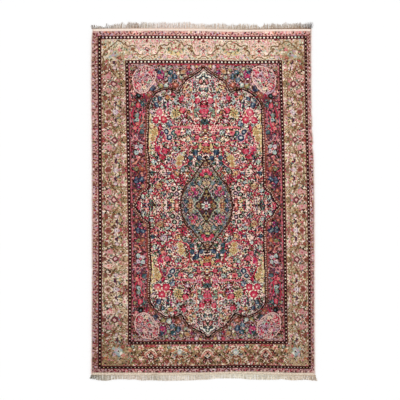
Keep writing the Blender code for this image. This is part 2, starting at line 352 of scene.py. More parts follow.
# Flowers: the kind of head unless it is a plain bloom, its yarns from the outside in, then u, v and radius.
fieldFlowers = """
sage/mint/green 11.4 36.2 2.1, iris/rose/white 12.8 38.8 1.5, red/rose/ruby 1.6 59.6 2.4,
orange/rust/hay 1.4 55 3.4, red/rose 5 52.4 1.6, gold/hay/moss 5.6 57.4 1.6, rust/bark 16.4 56.8 1.5,
sage/hay/moss 22.2 50.6 2.1, coral/pink/rose 21.6 57 3.2, ash/mint/sky 27.6 54.2 2.9,
sky/sky/white 31 57.4 2.1, plum/red/iris 29.4 60.4 1.8, iris/sky/sky 32.4 42.8 2.7,
ash/sky/mint 22.6 34.6 2.6, rose/pink/red 32.2 38.8 1.7, pink/rose/red 32.4 50.4 1.8,
rose/plum 23.6 61.4 1.5, red/rose/ruby 22.6 28 2.5, red/rose/ruby 28.2 24.8 2.8,
red/ruby/rose 23 22.2 2.4, red/plum/ruby 33.6 28.4 2.5, sage/mint/green 33 24.2 1.9,
rose/pink/red 33.2 20.4 2.3, sky/mint/green 26.4 17.2 1.9, gold/hay/orange 29.2 31.4 2.2,
coral/orange/bark 32 33 2.1, slate/navy/sky 37.2 31.6 1.9, orange/bark 18.4 31.6 1.4,
bark/tan 25.4 31.2 1.1, sage/moss 16.6 28.6 1.3, rose/pink/plum 39.6 17.6 3.9, iris/sky 36.6 19.6 1.7,
fawn/gold/rust 47.4 19.4 3.8, sage/mint/green 42.8 23.6 2, sky/sky/slate 38.4 23 1.9,
coral/rose/red 51.6 27.4 2.4, red/rose 52.8 24 1.7, navy/teal/black 53.7 32.4 2.6,
red/ruby/rose 48.2 31.2 1.8, pink/oat/coral 43.6 32.6 3.6, green/sage 39.2 28.4 1.4,
red/ruby/rose 48.4 38 2.2, rose/dust/red 53 37.8 2.1, sage/sky/mint 44.4 38 2, ash/sage/mint 44 11.6 2.1,
coral/red/rose 49 9.6 2.4, red/rust/rose 52.8 12.2 2, sky/iris/slate 55.6 15 1.9,
sage/green/mint 59.6 9.4 1.7, red/ruby 60.6 12.6 1.3, sky/oat/mint 63.6 8 2.6, oat/pink/rose 52.4 7.2 2.1,
teal/mint/sage 56.4 3.2 2.2, pink/white/sage 41.4 3.2 2.5, pink/white/rose 48.8 3 2.2,
hay/gold/moss 35.4 4.4 2.4, rust/coral/red 30.2 3 2.4, coral/rose/pink 60.6 2.8 1.9,
red/rose/pink 68.4 2.4 2.3, sage/ash/teal 54.2 19.6 1.7, coral/pink/rose 29.6 0 2, hay/pink 34.4 0 1.4,
coral/pink/rose 44.2 58.4 2.1, pink/rose/red 44 53.4 1.9, rust/orange/bark 44.4 44.6 2,
red/orange 46.4 41.4 1.6, navy/grape/slate 48.2 46.8 1.6, sky/sage/ash 52.6 43 2.6,
ash/mint/teal 37.4 46.4 1.9, sage/hay/moss 52.8 51 2.5, sand/oat/sage 52.4 57.6 2, bark/rust 38 57 1.5,
mint/white/sky 41.6 61.8 2.2, gold/oat/sage 48.2 75.4 2.3, hay/gold/tan 53.6 77.2 2.1,
coral/sand 53.2 61.8 1.7, slate/sage/sky 44.4 66 2.2, red/rust/rose 40 66 2, rose/pink 41.8 64.2 1.5,
red/plum/ruby 44.8 75.4 2.2, sky/sage/mint 47.4 78 1.7, grape/plum 43.2 70.6 1.5,
bark/oat/sage 52.4 88 1.8, slate/sky/iris 35.4 80.4 3, mint/white/sage 38.6 77 1.8,
pink/oat/rose 53.4 91.8 2.4, ash/slate/bark 53.6 82 1.8, white/pink/sage 41.4 78.4 2,
hay/gold/tan 31.8 87.4 2.5, hay/sage/moss 27.2 95.4 2, coral/rose/red 19.6 91.6 2.1,
plum/iris/grape 21.8 88.6 2.2, tan/gold/orange 16.4 91.6 2.1, moss/sand/bark 16.2 86.4 1.7,
iris/pink/white 21.4 83 2.4, bark/green 23.6 79.8 1.5, sand/bark 28.2 83 1.7, pink/rose/red 22.6 70.8 1.9,
sky/white/sky 16.4 72.2 2.5, green/moss 18.4 75.6 1.6, ash/sky/navy 13.2 66.2 2.1,
hay/oat/sage 17.8 66 2.2, oat/sand/iris 23.2 65.8 2.2, green/bark 30.6 66.6 1.4,
hay/sage/mint 7.4 62.6 1.8, mint/sky/sky 11.4 61.6 1.8, bark/fawn/rust 1.4 72 2.4, sage/sand 4.8 69.4 1.5,
gold/orange/sand 1.2 66 1.9, red/rose/ruby 1.6 77.4 2, teal/green/ash 1.4 82.8 2.5,
plum/rose 1.4 88.4 1.7, red/plum/rose 1.2 97.2 1.8, ash/sage/sky 7.4 93.8 2.8,
sage/mint/green 8.2 88.6 2.3, bark/rust 10.6 97.2 1.4, ruby/red 7.8 106.2 1.6, sky/ash/sky 12.4 106.2 2.5,
teal/mint/green 2.6 113 2.2, sage/hay/moss 2.6 107 1.8, rose/pink/red 2.6 121 2.4,
teal/slate/white 3 126.8 2.6, slate/white/teal 8.4 120.2 2.2, navy/slate 7.2 126.4 1.8,
iris/pink/rose 11.8 122.6 1.9, coral/orange/oat 18.6 108.2 2.6, iris/pink/plum 20.2 104.8 2.3,
sky/iris/ash 28.8 102.2 2.9, ash/iris/navy 17 99.4 2, ash/iris/slate 22.6 99.4 1.7,
hay/oat/sage 18.4 117.2 3.5, coral/sand/bark 20.8 112.8 2.2, gold/sand/rose 13.4 113.8 2,
pink/white 12.6 118.2 1.6, sky/sage 29.6 106.8 1.6, orange/gold/rust 36.6 106.2 2.6,
mint/white/moss 44 100.4 1.6, red/rose 32 110 1.9, moss/bark 40.4 109.4 1.6, green/mint 53.8 97.2 1.7,
coral/rose 33.8 105.6 1.5"""
boldFlowers = """
navy/teal/slate 10.4 52.4 2.9, navy/slate/navy 6.2 47 2.5, teal/navy/slate 14.8 47.2 2.8,
green/teal/navy 8.2 41.2 2.3, teal/green/navy 15 41 2.4, sun gold/hay/moss 25.4 46.6 3.6,
sun gold/orange/moss 26.6 40.8 3, ring black/mint/green 32.6 16.4 2.3, ring black/iris/wine 29.4 11.6 2.2,
ring black/mint/green 34.4 10.8 2.3, ring navy/sky/white 35.8 66.8 2.8, ring teal/sage/mint 31.6 70.8 2.4,
ring navy/sky/sky 38.6 71.8 2.5, red/rose/ruby 40.6 54 3, red/ruby/rust 43.8 48.4 2.8,
red/plum/ruby 47.4 56 3.1, sun gold/hay/moss 50.8 71.4 3.7, sun gold/hay/bark 52.4 65.6 2.9,
rose red/rose/pink 45.6 91.6 3.9, rose red/rose/pink 41 84.4 3.8, rose red/rose/pink 49.2 83.8 3.7,
sun gold/hay/green 29.2 91.4 4.2, red/rose/coral 22.8 93.8 3.2, red/rose/coral 6.4 102.4 3.1,
red/rose/ruby 24.4 106.2 2.7, navy/teal/sky 44.8 105.4 2.7, navy/slate/sky 48.8 99 3,
teal/navy/mint 51.4 104.2 2.2, red/rose/ruby 1.8 92.6 2.7, red/rose/ruby 8.8 66.8 2.3,
rose/red/ruby 27 71.4 3"""
cornerFlowers = """
gold/hay 7 136.4 1.6, iris/white/rose 11 135.6 2, red/rose 15.2 136.4 1.8,
grape/slate/iris 14.8 131.2 2.2, fawn/orange/moss 20.6 131.4 2.7, moss/gold/sage 26.6 133.4 1.9,
navy/slate/sky 29.4 126.8 3, teal/slate/white 33.4 130.8 2.6, slate/teal/sky 34.6 123.8 2.6,
rust/coral/pink 29.4 118.6 3.2, sky/white/sand 38.2 118.2 2.4, sage/mint 38.4 128.8 1.7,
moss/hay/bark 43.4 117.6 2.6, navy/teal/slate 45.2 130.6 2.6, plum/red/rose 44.6 126.2 2.6,
bark/white 44.4 122.8 1.4, navy/grape/ash 52 115.2 3.3, oat/white 25.4 130 1.4, sage/sky 33.6 136 1.5,
sage/hay 40.4 134.4 1.9, sage/mint 22.6 126.2 1.6, rust/moss/coral 56.6 108 2.6, iris/plum 48.6 118.6 1.4,
ring red/pink/rose 52.8 127.6 1.3, rose/pink/ruby 53.4 132 1.7, ring wine/pink/red 60.8 132.8 1.5,
ring plum/pink/wine 58 123.8 1.2, ring red/pink/ruby 66.4 115.2 1.8, ring grape/iris/white 64.8 121.6 1.3,
ring wine/pink/rose 69.4 123.6 1.2, sage/mint 56.6 120.4 1.6, oat/coral/sage 61 115.2 2.2,
ring plum/iris/wine 65.6 128.4 1.3, iris/pink/plum 57.4 129.4 1.7, coral/rose 61.4 127.6 1.4,
rose/red 69.6 118.6 1.3, coral/rose 62.4 120.2 1.5, iris/plum 69.6 129.4 1.5,
moss/fawn/red 72.8 134.6 1.8, black/teal/ash 67 107.2 2.8, rose/pink/red 71.2 109.6 1.9,
bark/sky/iris 66.8 102.4 2.4, teal/green/mint 63.4 99.6 2.3, red/rose/coral 67.6 98.2 2.6,
moss/fawn 72.6 99.8 1.6, ash/sky/bark 68.8 88.8 2.4, sky/slate/bark 68.6 84.4 2.2,
plum/iris 65.8 91.6 1.5, rose/red/pink 68.4 79.6 1.7, teal/ash/navy 63.6 72 2.3,
rose/coral/ruby 70.6 75.4 2.1, ash/slate 63.8 78 1.5, sky/iris/wine 64.4 58 2.2,
iris/sky/wine 69 57.8 2.2, iris/sky/wine 64.6 53.2 2.2, sky/sky/wine 68.8 52.2 2.4, rose/pink 66.8 48 1.6,
rust/rose 63.8 44 1.8, rust/orange/fawn 64.6 35.6 2.5, moss/tan/bark 69.4 36.2 2.1,
navy/slate/sky 64.2 26 2.8, navy/grape/slate 69.2 25.2 3.1, grape/navy/iris 68 20 2.4,
dust/rose 72.6 44.8 1.5, dust/coral 72.8 64 1.6, rust/coral 71.4 14.8 1.9, fawn/orange 63.2 19.6 1.5"""
medallionFlowers = """
red/rose/pink 1.8 34.6 2.2, red/plum/rose 4 31.4 2.2, moss/gold 1 28.6 1.8, bark/fawn 0.8 40.6 1.5,
plum/ruby/pink 10.2 12.8 2, red/plum/pink 13.2 16.4 2.1, plum/grape/pink 16.4 12 1.9,
slate/grape 17.6 17.4 1.7, grape/iris 13 9.4 1.8, slate/sage/teal 6.6 22.2 2.1, teal/green 13.8 22 1.9,
coral/sand 9.6 19.6 1.3, sand/hay/moss 2.4 22.6 1.4, moss/gold 6.8 26.8 1.5, green/sage 10.4 26.4 1.4,
fawn/tan/rust 15.8 5 2, black/white 18.8 8.4 1.6, navy/teal/slate 20.4 4.4 2.2, rust/gold 16.2 1 1.8,
grape/iris 22.6 1.2 1.2, mint/sage 12.6 5.2 1.1, navy/grape 8.8 8.2 1.2"""

# Vines and stems: yarn, width, then the places they run through.
fieldVines = """
vine red 1.1 36.7 35.4 41 38.4 45 41.6, vine red 1.3 35.4 34.4 38.4 37, vine pink 1.2 9 49.4 12.6 43.4,
vine coral 1.1 43 86.2 45.4 87.8 47.4 86, vine coral 1 45.4 87.6 45.8 81 45.2 76.6,
vine red 1.1 30.4 78.6 32.8 82.4 35.2 86 36.6 90.6 36.8 96.8, vine coral 1 14.6 103.4 15.4 108 17.6 110.4,
vine red 0.9 21.4 101.6 26.6 103.4 30.8 107.4 32.2 111.4, vine plum 1.7 36.2 102.2 36.6 96.6,
vine teal 1.9 40.6 102.8 39.8 95, vine navy 1 39.2 101.4 39 95.6,
vine red 1 20.6 24.6 25.4 26.6 31 26.8 36.8 26.4 42 26.2 47.6 27.8,
vine rose 1 28.6 20.4 28.8 14 33.4 12.8 38.2 12.8 41.6 8.2, vine white 1 33 13 34.2 12.6,
vine rose 1 47 34.4 49.8 31.6 51 24.8, vine red 0.9 44.2 14.4 48 13 51.6 14.6 55 10 54.6 5.4,
vine rust 1 28.2 6.6 31.6 5.8 33.2 1.6, vine bark 0.8 45 9.2 45.6 6.2 48 5.4,
vine rose 1 36.6 60.4 38.6 63.4 38 68.6, vine red 1 4.6 55.2 9 57.4 13.6 57.6 17 58.6,
vine gold 1 4.4 61.4 6.2 58.6 6.4 55.4, vine sage 1 20.4 67.8 24.4 67.8 27.6 66.6,
vine pink 1.2 31 52.4 34.2 48.6, vine pink 1 33.6 46 37.4 43.4 40.6 42.2"""
boldVines = """
vine red 1.1 36.7 35.4 30 36.2 24 37.6 19.6 40 17.8 44 17.4 50 18.2 57 21 61.8 26 63.8 33.3 64.4,
vine red 1.1 45.2 77.6 44.8 73.6 46.6 69.4 48.8 64.4 49.4 58.4 47.6 53 43.6 49.6,
vine coral 1.1 11.6 84 11 90 11.2 96 11.8 103.4, vine rose 0.9 12.4 126 11.4 120 12.2 114,
vine white 1.1 0 130.4 3.4 127.6 7.4 125, vine rose 1.6 14.4 77.4 18.4 76.6 24 76.8 29.6 77.2 33.6 75.6,
vine red 1.1 35.6 63 40 63.4 44.4 61.2, vine rose 1 2 64 5.6 61.6 10.4 62.6 15.6 62,
vine plum 1.1 42.2 123.2 41.4 127.6 42.4 132.4, vine rose 0.9 66.6 97 63.6 93.4 62.9 87 63.8 81 66.8 77.4,
vine red 1 70.6 96.4 73 92 73.6 86 72.6 80.6 70.2 77.6, vine pink 1.2 49.2 120.2 53.4 118.8 58.4 112.6,
vine rose 0.8 68 60.8 71.6 65.6 73 70.6, vine coral 0.9 66.4 46.6 70.2 42 73 41,
vine dust 0.8 61.4 62 66.6 63.8 70.6 68.4, vine red 1 62.4 105.4 62 110.4 59.4 106.2,
vine red 1.1 64.2 91.6 66.4 86 66.2 79 69.8 73, vine rust 1 61.8 40.4 65.6 39 67.4 32.4"""
medallionVines = """
vine slate 0.9 15.6 20.4 18.2 17.4 19 12.4 20.6 6.4 21.4 1, vine slate 0.8 11.8 27.2 14.4 23.2"""

fieldGround = {  # how a part of the field is filled before its own motifs are drawn, in squares
    "knotsPerLeaf": 80,
    "lengths": (2.0, 3.8),  # of the leaves
    "pitch": 2.7,  # from one packed flower to the next
    "radii": (1.0, 1.6),
    "chance": 1.0,  # of a flower in each of its places
    "patch": 1.2,  # width of the ground's odd patches
    "share": 0.45,  # of the ground that they take
}
fieldGrounds = {
    "field": {
        **fieldGround,
        "leaves": "green bark moss black teal ivory rose ivory pink",
        "edges": "bark black ruby red navy ruby",
        "kinds": """
    red/rose/ruby rose/pink/red coral/oat/rust slate/sky/navy sage/hay/moss gold/hay/rust green/sage
    bark/rust iris/white/grape ash/mint/teal rust/coral moss/sage pink/rose/ruby plum/rose bark/tan""",
        "patches": "black bark red ivory navy rose pink ruby green hay",
        "dots": "black green black navy ruby",
    },
    "crown": {
        **fieldGround,
        "leaves": "white sky ivory moss pink mint green iris ivory",
        "edges": "bark red rose ruby black slate",
        "kinds": """
    white/sky/navy rose/white/red iris/white/grape slate/white coral/oat/rust mint/white/green red/rose
    sky/ivory/slate gold/hay green/sage""",
        "share": 0.5,
        "patches": "white bark iris white black sky rose mint ivory",
        "dots": "bark green ruby",
    },
    "corners": {
        **fieldGround,
        "leaves": "dust umber iris sage rose coral bark",
        "pitch": 3.0,
        "radii": (0.8, 1.4),
        "edges": "bark umber tan wine dust",
        "kinds": """
    coral/pink/rust bark/rust sage/mint red/rose tan/gold/bark iris/sky/grape oat/sand/rust slate/sky""",
        "patches": "bark iris black rose moss pink bark slate wine",
        "dots": "bark black umber",
    },
    "cartouche": {
        **fieldGround,
        "leaves": "pink iris iris sage bark",
        "pitch": 3.0,
        "radii": (0.8, 1.3),
        "edges": "bark wine wine grape",
        "kinds": """
    pink/white/red iris/pink/ruby sage/mint rose/pink iris/white/plum dust/oat sky/iris dust/pink/wine""",
        "patches": "pink ivory rose iris bark wine mint ash",
        "dots": "bark wine red",
    },
    "panel": {
        **fieldGround,
        "leaves": "umber wine rust ash tan",
        "pitch": 3.2,
        "radii": (0.9, 1.5),
        "edges": "black ruby bark grape",
        "kinds": """
    rose/pink red/rose bark/tan ash/sky dust/coral/ruby grape/iris teal/slate tan/fawn""",
        "share": 0.5,
        "patches": "black wine rose bark ash umber bark ruby green",
        "dots": "black grape",
    },
    "medallion": {
        **fieldGround,
        "leaves": "bark tan moss green sand ash",
        "pitch": 2.6,
        "radii": (0.6, 1.1),
        "edges": "bark black tan",
        "kinds": """
    sand/hay/moss bark/rust moss/gold ash/sky rose/pink grape/iris green/sage black/bark coral/sand""",
        "patch": 1.1,
        "share": 0.6,
        "patches": "black dust moss sand ash black sage grape iris dust",
        "dots": "black bark",
    },
}


def isOpen(chart, area, u, v):
    # Whether the knot at a place lies in the area and is still free.
    rows, columns = chart["yarn"].shape
    column = int(np.clip(u * knots, 0, columns - 1))
    row = int(np.clip((v - chart["lowV"]) * knots, 0, rows - 1))
    return area[row, column] and chart["free"][row, column]


def fillGround(chart, area, tries, sizes, kinds, dice):
    # Small flowers, leaves and sprigs where the chart is still free, as a weaver fills the ground.
    rows, columns = np.nonzero(area & chart["free"])
    kinds = [dyeNames(names) for names in kinds.split()]
    picks = dice.integers(0, len(rows), tries)
    for row, column in zip(rows[picks], columns[picks]):
        size = dice.uniform(*sizes)
        reach = int(np.ceil(size * knots))
        around = chart["free"][max(0, row - reach):row + reach + 1, max(0, column - reach):column + reach + 1]
        if around.mean() < 0.88:
            continue
        u, v = column / knots, row / knots + chart["lowV"]
        outer, inner, eye, _ = kinds[int(dice.integers(len(kinds)))]
        turn = dice.uniform(0.0, 180.0)
        shape = dice.uniform()
        if shape < 0.42:
            middle = eye if size > 0.9 else None
            bloom(chart, u, v, size, outer, inner, middle, int(dice.integers(4, 7)), None, turn)
        elif shape < 0.72:
            leaf(chart, u, v, size * 2.5, size * 1.1, turn, outer, eye)
        else:
            sprig(chart, u - size * 0.5, v, turn, size * 1.7, eye or outer, outer, inner or outer)


def packFlowers(chart, area, ground, dice):
    # Flowers side by side on a shaken triangular grid, each with a dark edge, so little ground is left.
    rows, columns = chart["yarn"].shape
    pitch, edges = ground["pitch"], ground["edges"].split()
    kinds = [dyeNames(names) for names in ground["kinds"].split()]
    spots = [((column + 0.5 * (row % 2)) * pitch, row * pitch * 0.87 + chart["lowV"])
             for row in range(int(rows / knots / (pitch * 0.87)) + 1)
             for column in range(int(columns / knots / pitch) + 1)]
    spots = np.array(spots) + dice.uniform(-0.32, 0.32, (len(spots), 2)) * pitch
    for u, v in dice.permutation(spots):
        if not isOpen(chart, area, u, v) or dice.uniform() > ground["chance"]:
            continue
        outer, inner, eye, _ = kinds[int(dice.integers(len(kinds)))]
        radius = dice.uniform(*ground["radii"])
        edge = str(dice.choice(edges))
        turn = dice.uniform(0.0, 180.0)
        shape = dice.uniform()
        if shape < 0.4:
            bloom(chart, u, v, radius, outer, inner, eye, int(dice.integers(4, 7)), edge, turn)
        elif shape < 0.75:
            leaf(chart, u, v, radius * 3.4, radius * 1.7, turn, edge)
            leaf(chart, u, v, radius * 2.7, radius * 1.1, turn, outer, inner)
        else:
            for side in (-34.0, 0.0, 34.0):
                c, s = compass(turn + side)
                leaf(chart, u + c * radius * 0.7, v + s * radius * 0.7, radius * 1.8, radius * 0.9,
                     turn + side, outer if side else edge, inner)
            disc(chart, u, v, radius * 0.42, eye or edge)


def scatterLeaves(chart, area, ground, dice):
    # Narrow leaves laid over one another at all angles, which darken the ground between the flowers.
    rows, columns = np.nonzero(area)
    picks = dice.integers(0, len(rows), int(area.sum() / ground["knotsPerLeaf"]))
    yarns = ground["leaves"].split()
    for row, column in zip(rows[picks], columns[picks]):
        length = dice.uniform(*ground["lengths"])
        leaf(chart, column / knots, row / knots + chart["lowV"], length, length * dice.uniform(0.22, 0.42),
             dice.uniform(0.0, 180.0), str(dice.choice(yarns)))


def scatterDots(chart, area, pitch, radii, colours, dice, chance=0.9):
    # Dark specks on a shaken triangular grid, wherever the chart is still free.
    rows, columns = chart["yarn"].shape
    colours = colours.split()
    for row in range(int(rows / knots / (pitch * 0.87)) + 1):
        for column in range(int(columns / knots / pitch) + 1):
            u = (column + 0.5 * (row % 2) + dice.uniform(-0.3, 0.3)) * pitch
            v = (row * 0.87 + dice.uniform(-0.3, 0.3)) * pitch + chart["lowV"]
            if isOpen(chart, area, u, v) and dice.uniform() < chance:
                disc(chart, u, v, dice.uniform(*radii), str(dice.choice(colours)), dice.uniform(0.7, 1.6),
                     dice.uniform(0, 90))


def speckle(chart, area, cell, share, colours, dice):
    # Odd patches of knots about one cell wide, as the ground shows between worn motifs.
    size = round(cell * knots)
    shape = chart["yarn"].shape
    grid = (shape[0] // size + 3, shape[1] // size + 3)
    yarn = dice.choice([yarnNumber[colour] for colour in colours.split()], grid)
    kept = dice.uniform(size=grid) < share
    i = (np.arange(shape[0])[:, None] + 0.9 * softNoise(shape, 3, dice)).clip(0) / size
    j = (np.arange(shape[1])[None, :] + 0.9 * softNoise(shape, 3, dice)).clip(0) / size
    i, j = i.astype(int), (j + 0.5 * (i.astype(int) % 2)).astype(int)
    part = area & chart["free"] & kept[i, j]
    chart["yarn"][part] = yarn[i, j][part]


def fillArea(chart, area, ground, dice):
    # An area's ground: leaves over one another, flowers packed on them, then odd patches. It is left free.
    scatterLeaves(chart, area, ground, dice)
    chart["free"][area] = True
    packFlowers(chart, area, ground, dice)
    chart["free"][area] = True
    speckle(chart, area, ground["patch"], ground["share"], ground["patches"], dice)


def trace(chart, line, rows):
    # Lines that follow one curve, parted by commas: yarn, width, gap if dotted, and how far beside the curve.
    for row in rows.split(","):
        yarn, *numbers = row.split()
        width, gap, shift = (float(number) for number in numbers)
        vine(chart, beside(line, shift) if shift else line, width, yarn, gap)


def outlineBar(chart, path):
    # The scalloped line: a dark line round the arches; down the sides two lines with dashes between them.
    turn = next(place for place, (u, _) in enumerate(path) if u > fieldPlan["archesTo"])
    trace(chart, path[:turn + 1], """
        dust 1.1 1.9 1.7, bark 0.9 1.3 -2.6, dust 1.1 1.9 -1.6, bark 1 0 1.3, tan 1 1.9 0.4,
        black 1.35 0 -0.8""")
    for run in (path[turn:turn + 5], path[turn + 4:]):
        trace(chart, run, "bark 3.8 0 0, black 1 0 -1.5, rust 0.8 0 1.5, dust 1.4 2.3 0, sand 0.8 2.3 -0.3")


def speckledPalmette(chart, u, v, dice):
    # The leaning palmette over each loop: rows of red seeds on a pink leaf.
    disc(chart, u, v, 3.2, "pink", 1.6, -18.0)
    disc(chart, u + 0.6, v - 1.4, 1.5, "pink", 1.6, -18.0)
    for row in range(6):
        for seed in range(-1, 2):
            across = (seed + 0.5 * (row % 2)) * 2.1 + (2.4 - row) * 0.5
            disc(chart, u + across, v + (row - 2.6) * 1.9 + dice.uniform(-0.3, 0.3), 0.85,
                 "red" if (row + seed) % 3 else "ruby")


def roundMiddle(chart, name):
    # Which knots lie between a line and the middle of the medallion.
    return inside(chart, np.vstack([[0, 0], fieldLines[name]]))


def weaveMedallion(chart, dice):
    # The medallion: a broken dark line with a dotted band inside it, its flowers and the pale star.
    star = roundMiddle(chart, "star")
    trace(chart, fieldLines["medallion"], """
        umber 2 2.7 0, ash 1.1 1.7 -2.6, bark 0.7 1.9 -1.3, bark 0.7 1.4 -3.6, bark 1.2 0 0,
        black 1.3 1.6 0, bark 0.7 1.9 1.1""")
    draw(chart, "disc black 0 47.8 1.4")
    draw(chart, medallionVines)
    drawFlowers(chart, medallionFlowers, dice)
    tie(chart, slice(None), star, "bark")
    chart["free"][star] = True
    speckle(chart, star, 1.2, 0.8, "bark black moss grape fawn ash green", dice)
    trace(chart, fieldLines["star"], "sage 0.8 0 0, mint 0.9 1.7 0")
    trace(chart, fieldLines["star"] * (0.84, 0.86), "grape 0.6 1.3 0")
    draw(chart, """
        disc moss 0 13.6 1.4, disc fawn 0 10.2 0.8, disc tan 8.6 0 1.5, disc gold 9.2 0 0.6,
        disc grape 3.4 5.8 1.2, disc navy 0 8.2 1.1, disc rust 5.2 3.4 1.2, disc moss 6.4 0.6 0.8,
        disc black 2.6 8.6 0.8, disc black 0 5.4 0.9, disc black 5.6 0 0.8, disc grape 0 0 4.5 1.1""")
    for petal in range(8):
        turn = petal * 45.0 + 22.5
        c, s = compass(turn)
        leaf(chart, 3.0 * c, 3.2 * s, 3.0, 1.7, turn, "mint" if petal % 4 in (0, 3) else "iris", "white")
    draw(chart, "disc grape 0 0 1.9, disc rose 0 0 1.3, disc coral 0 0 0.8")


fieldPlan = {  # in squares from the middle of the medallion
    "crownFrom": 92,  # where the paler ground at the end of the field begins
    "cornersFrom": 110,  # where the side panel gives way to the corner
    "archesTo": 58.0,  # how far across the scalloped line runs in arches
    "dotPitch": 2.5,
    "dotRadii": (0.5, 0.85),
}


def weaveField(dice):
    # One quarter of the field, from the middle of the medallion to the inner guard.
    wide, high = (int(begin) + 1 for begin in chartSize["innerGuard"])
    chart = blankChart(wide, high, 0, "wine")
    draw(chart, "strip dust 0 112 50 140, strip dust 0 134 76 140")
    middle, disk = roundMiddle(chart, "scallop"), roundMiddle(chart, "medallion")
    cartouche = inside(chart, fieldLines["cartouche"])
    for area, yarn in ((middle, "ivory"), (cartouche, "pink"), (disk, "ash")):
        tie(chart, slice(None), area, yarn)
    above = np.zeros_like(middle)
    above[fieldPlan["cornersFrom"] * knots:] = True
    corners = ~middle & ~cartouche
    pale = inside(chart, places("53 50, 57 48, 57 97, 53 93, 54 86, 52 78, 53.5 64"))
    tie(chart, slice(None), pale, "hay")
    crown = middle.copy()
    crown[:fieldPlan["crownFrom"] * knots] = False
    areas = {
        "field": middle & ~disk & ~pale & ~crown,
        "crown": crown,
        "corners": corners & above,
        "cartouche": cartouche,
        "panel": corners & ~above,
        "medallion": disk,
    }
    chart["free"][:] = True
    speckle(chart, pale, 1.3, 0.45, "hay sand ivory gold bark sage", dice)
    for name, area in areas.items():
        fillArea(chart, area, fieldGrounds[name], dice)
    chart["free"][:] = True
    speckle(chart, middle & ~disk, 1.1, 0.13, "black ivory red white coral hay rose", dice)
    draw(chart, fieldVines)
    drawFlowers(chart, fieldFlowers, dice)
    chart["free"][:] = True
    speckle(chart, middle & ~disk, 1.0, 0.1, "black white black white ruby", dice)
    speckle(chart, corners, 1.0, 0.06, "black wine iris bark pink red", dice)
    draw(chart, boldVines)
    speckledPalmette(chart, 8.4, 75.4, dice)
    drawFlowers(chart, boldFlowers, dice)
    outlineBar(chart, fieldLines["scallop"])
    draw(chart, "dots rose 0.6 0.9 61.9 100 61.9 19")
    drawFlowers(chart, cornerFlowers, dice)
    edge = np.vstack([fieldLines["cartouche"], fieldLines["cartouche"][:1]])
    trace(chart, edge, "wine 0.9 1.6 0.7, pink 0.9 0 0, wine 0.7 1.9 -1")
    draw(chart, """
        vine rose 0.6 75.2 3 75.2 138.6, vine red 0.7 56 138.4 3 138.4,
        vine dust 0.7 74 138.4 56 138.4""")
    weaveMedallion(chart, dice)
    for name in ("field", "crown", "cartouche", "corners", "panel", "medallion"):
        scatterDots(chart, areas[name], fieldPlan["dotPitch"], fieldPlan["dotRadii"],
                    fieldGrounds[name]["dots"], dice)
    return chart


mainBorder = {  # rows of the pendants that hang from the outer guard, in squares
    "sidePendants": (119.5, 64.4, 5.8, -55.3, -117.0),
    "endSpacing": 56.6,  # between the pendants along the ends, from the one in the middle
    "sideHalf": 29,  # squares from a pendant to the arch beside it, on a unit's own chart
    "endHalf": 28,
    "sideHigh": 24,
    "endHigh": 21,
}
borderKinds = {  # small flowers between the drawn ones, yarns from the outside in
    "side": """
    rose/dust/wine tan/moss rust/dust/bark moss/sage dust/rose/rust sage/mint/green tan/dust
    fawn/tan rust/tan/bark""",
    "top": """
    pink/rose white/dust/rose mint/oat sky/fawn dust/pink/wine mint/white fawn/moss
    iris/white""",
    "bottom": """
    rust/orange tan/gold/bark coral/pink/rust moss/hay fawn/oat sky/white
    rose/coral/ruby bark/tan""",
    "anywhere": """
    rose/pink moss/sage tan/gold rust/coral pink/white/rose sage/mint iris/white hay/moss
    bark/tan red/rose fawn/tan""",
}
unitGround = {  # how a unit's ground is filled, in squares and knots
    "knotsPerLeaf": 70,
    "lengths": (2.0, 3.6),
    "pitch": 3.2,
    "radii": (0.8, 1.25),
    "chance": 0.8,
    "patch": 1.4,
    "share": 0.34,
}
borderGrounds = {
    "side": {
        **unitGround,
        "leaves": "fawn moss oat sage dust sand tan sand sage",
        "edges": "bark green rust bark ivory moss",
        "kinds": borderKinds["side"],
        "patches": "bark green rust bark ivory moss ivory bark oat",
    },
    "top": {
        **unitGround,
        "leaves": "oat sand pink sky mint iris oat sand fawn",
        "edges": "oat sand umber fawn ivory mint",
        "kinds": borderKinds["top"],
        "patches": "oat sand umber fawn ivory mint ivory bark oat",
        "chance": 0.5,
        "share": 0.3,
    },
    "bottom": {
        **unitGround,
        "leaves": "tan moss hay oat sand coral oat ivory",
        "edges": "bark bark rust black black ivory",
        "kinds": borderKinds["bottom"],
        "patches": "bark bark rust black black ivory ivory bark oat",
    },
}
cornerGround = {
    **unitGround,
    "knotsPerLeaf": 60,
    "lengths": (1.6, 3.2),
    "radii": (0.8, 1.2),
    "chance": 0.4,
    "edges": "tan moss bark oat",
    "share": 0.26,
}
cornerGrounds = {
    "top": {
        **cornerGround,
        "leaves": "oat sand sage mint sand moss",
        "kinds": borderKinds["top"],
        "patches": "oat sand sage mint sand moss bark green tan",
    },
    "bottom": {
        **cornerGround,
        "leaves": "tan sage sand fawn dust oat",
        "kinds": borderKinds["bottom"],
        "patches": "tan sage sand fawn dust oat bark green tan",
    },
}


def startUnit(chart, name, strokes, dice):
    # A unit's patches of colour, filled over with leaves and small flowers.
    draw(chart, strokes)
    chart["free"][:] = True
    fillArea(chart, np.ones_like(chart["free"]), borderGrounds[name], dice)
    return chart


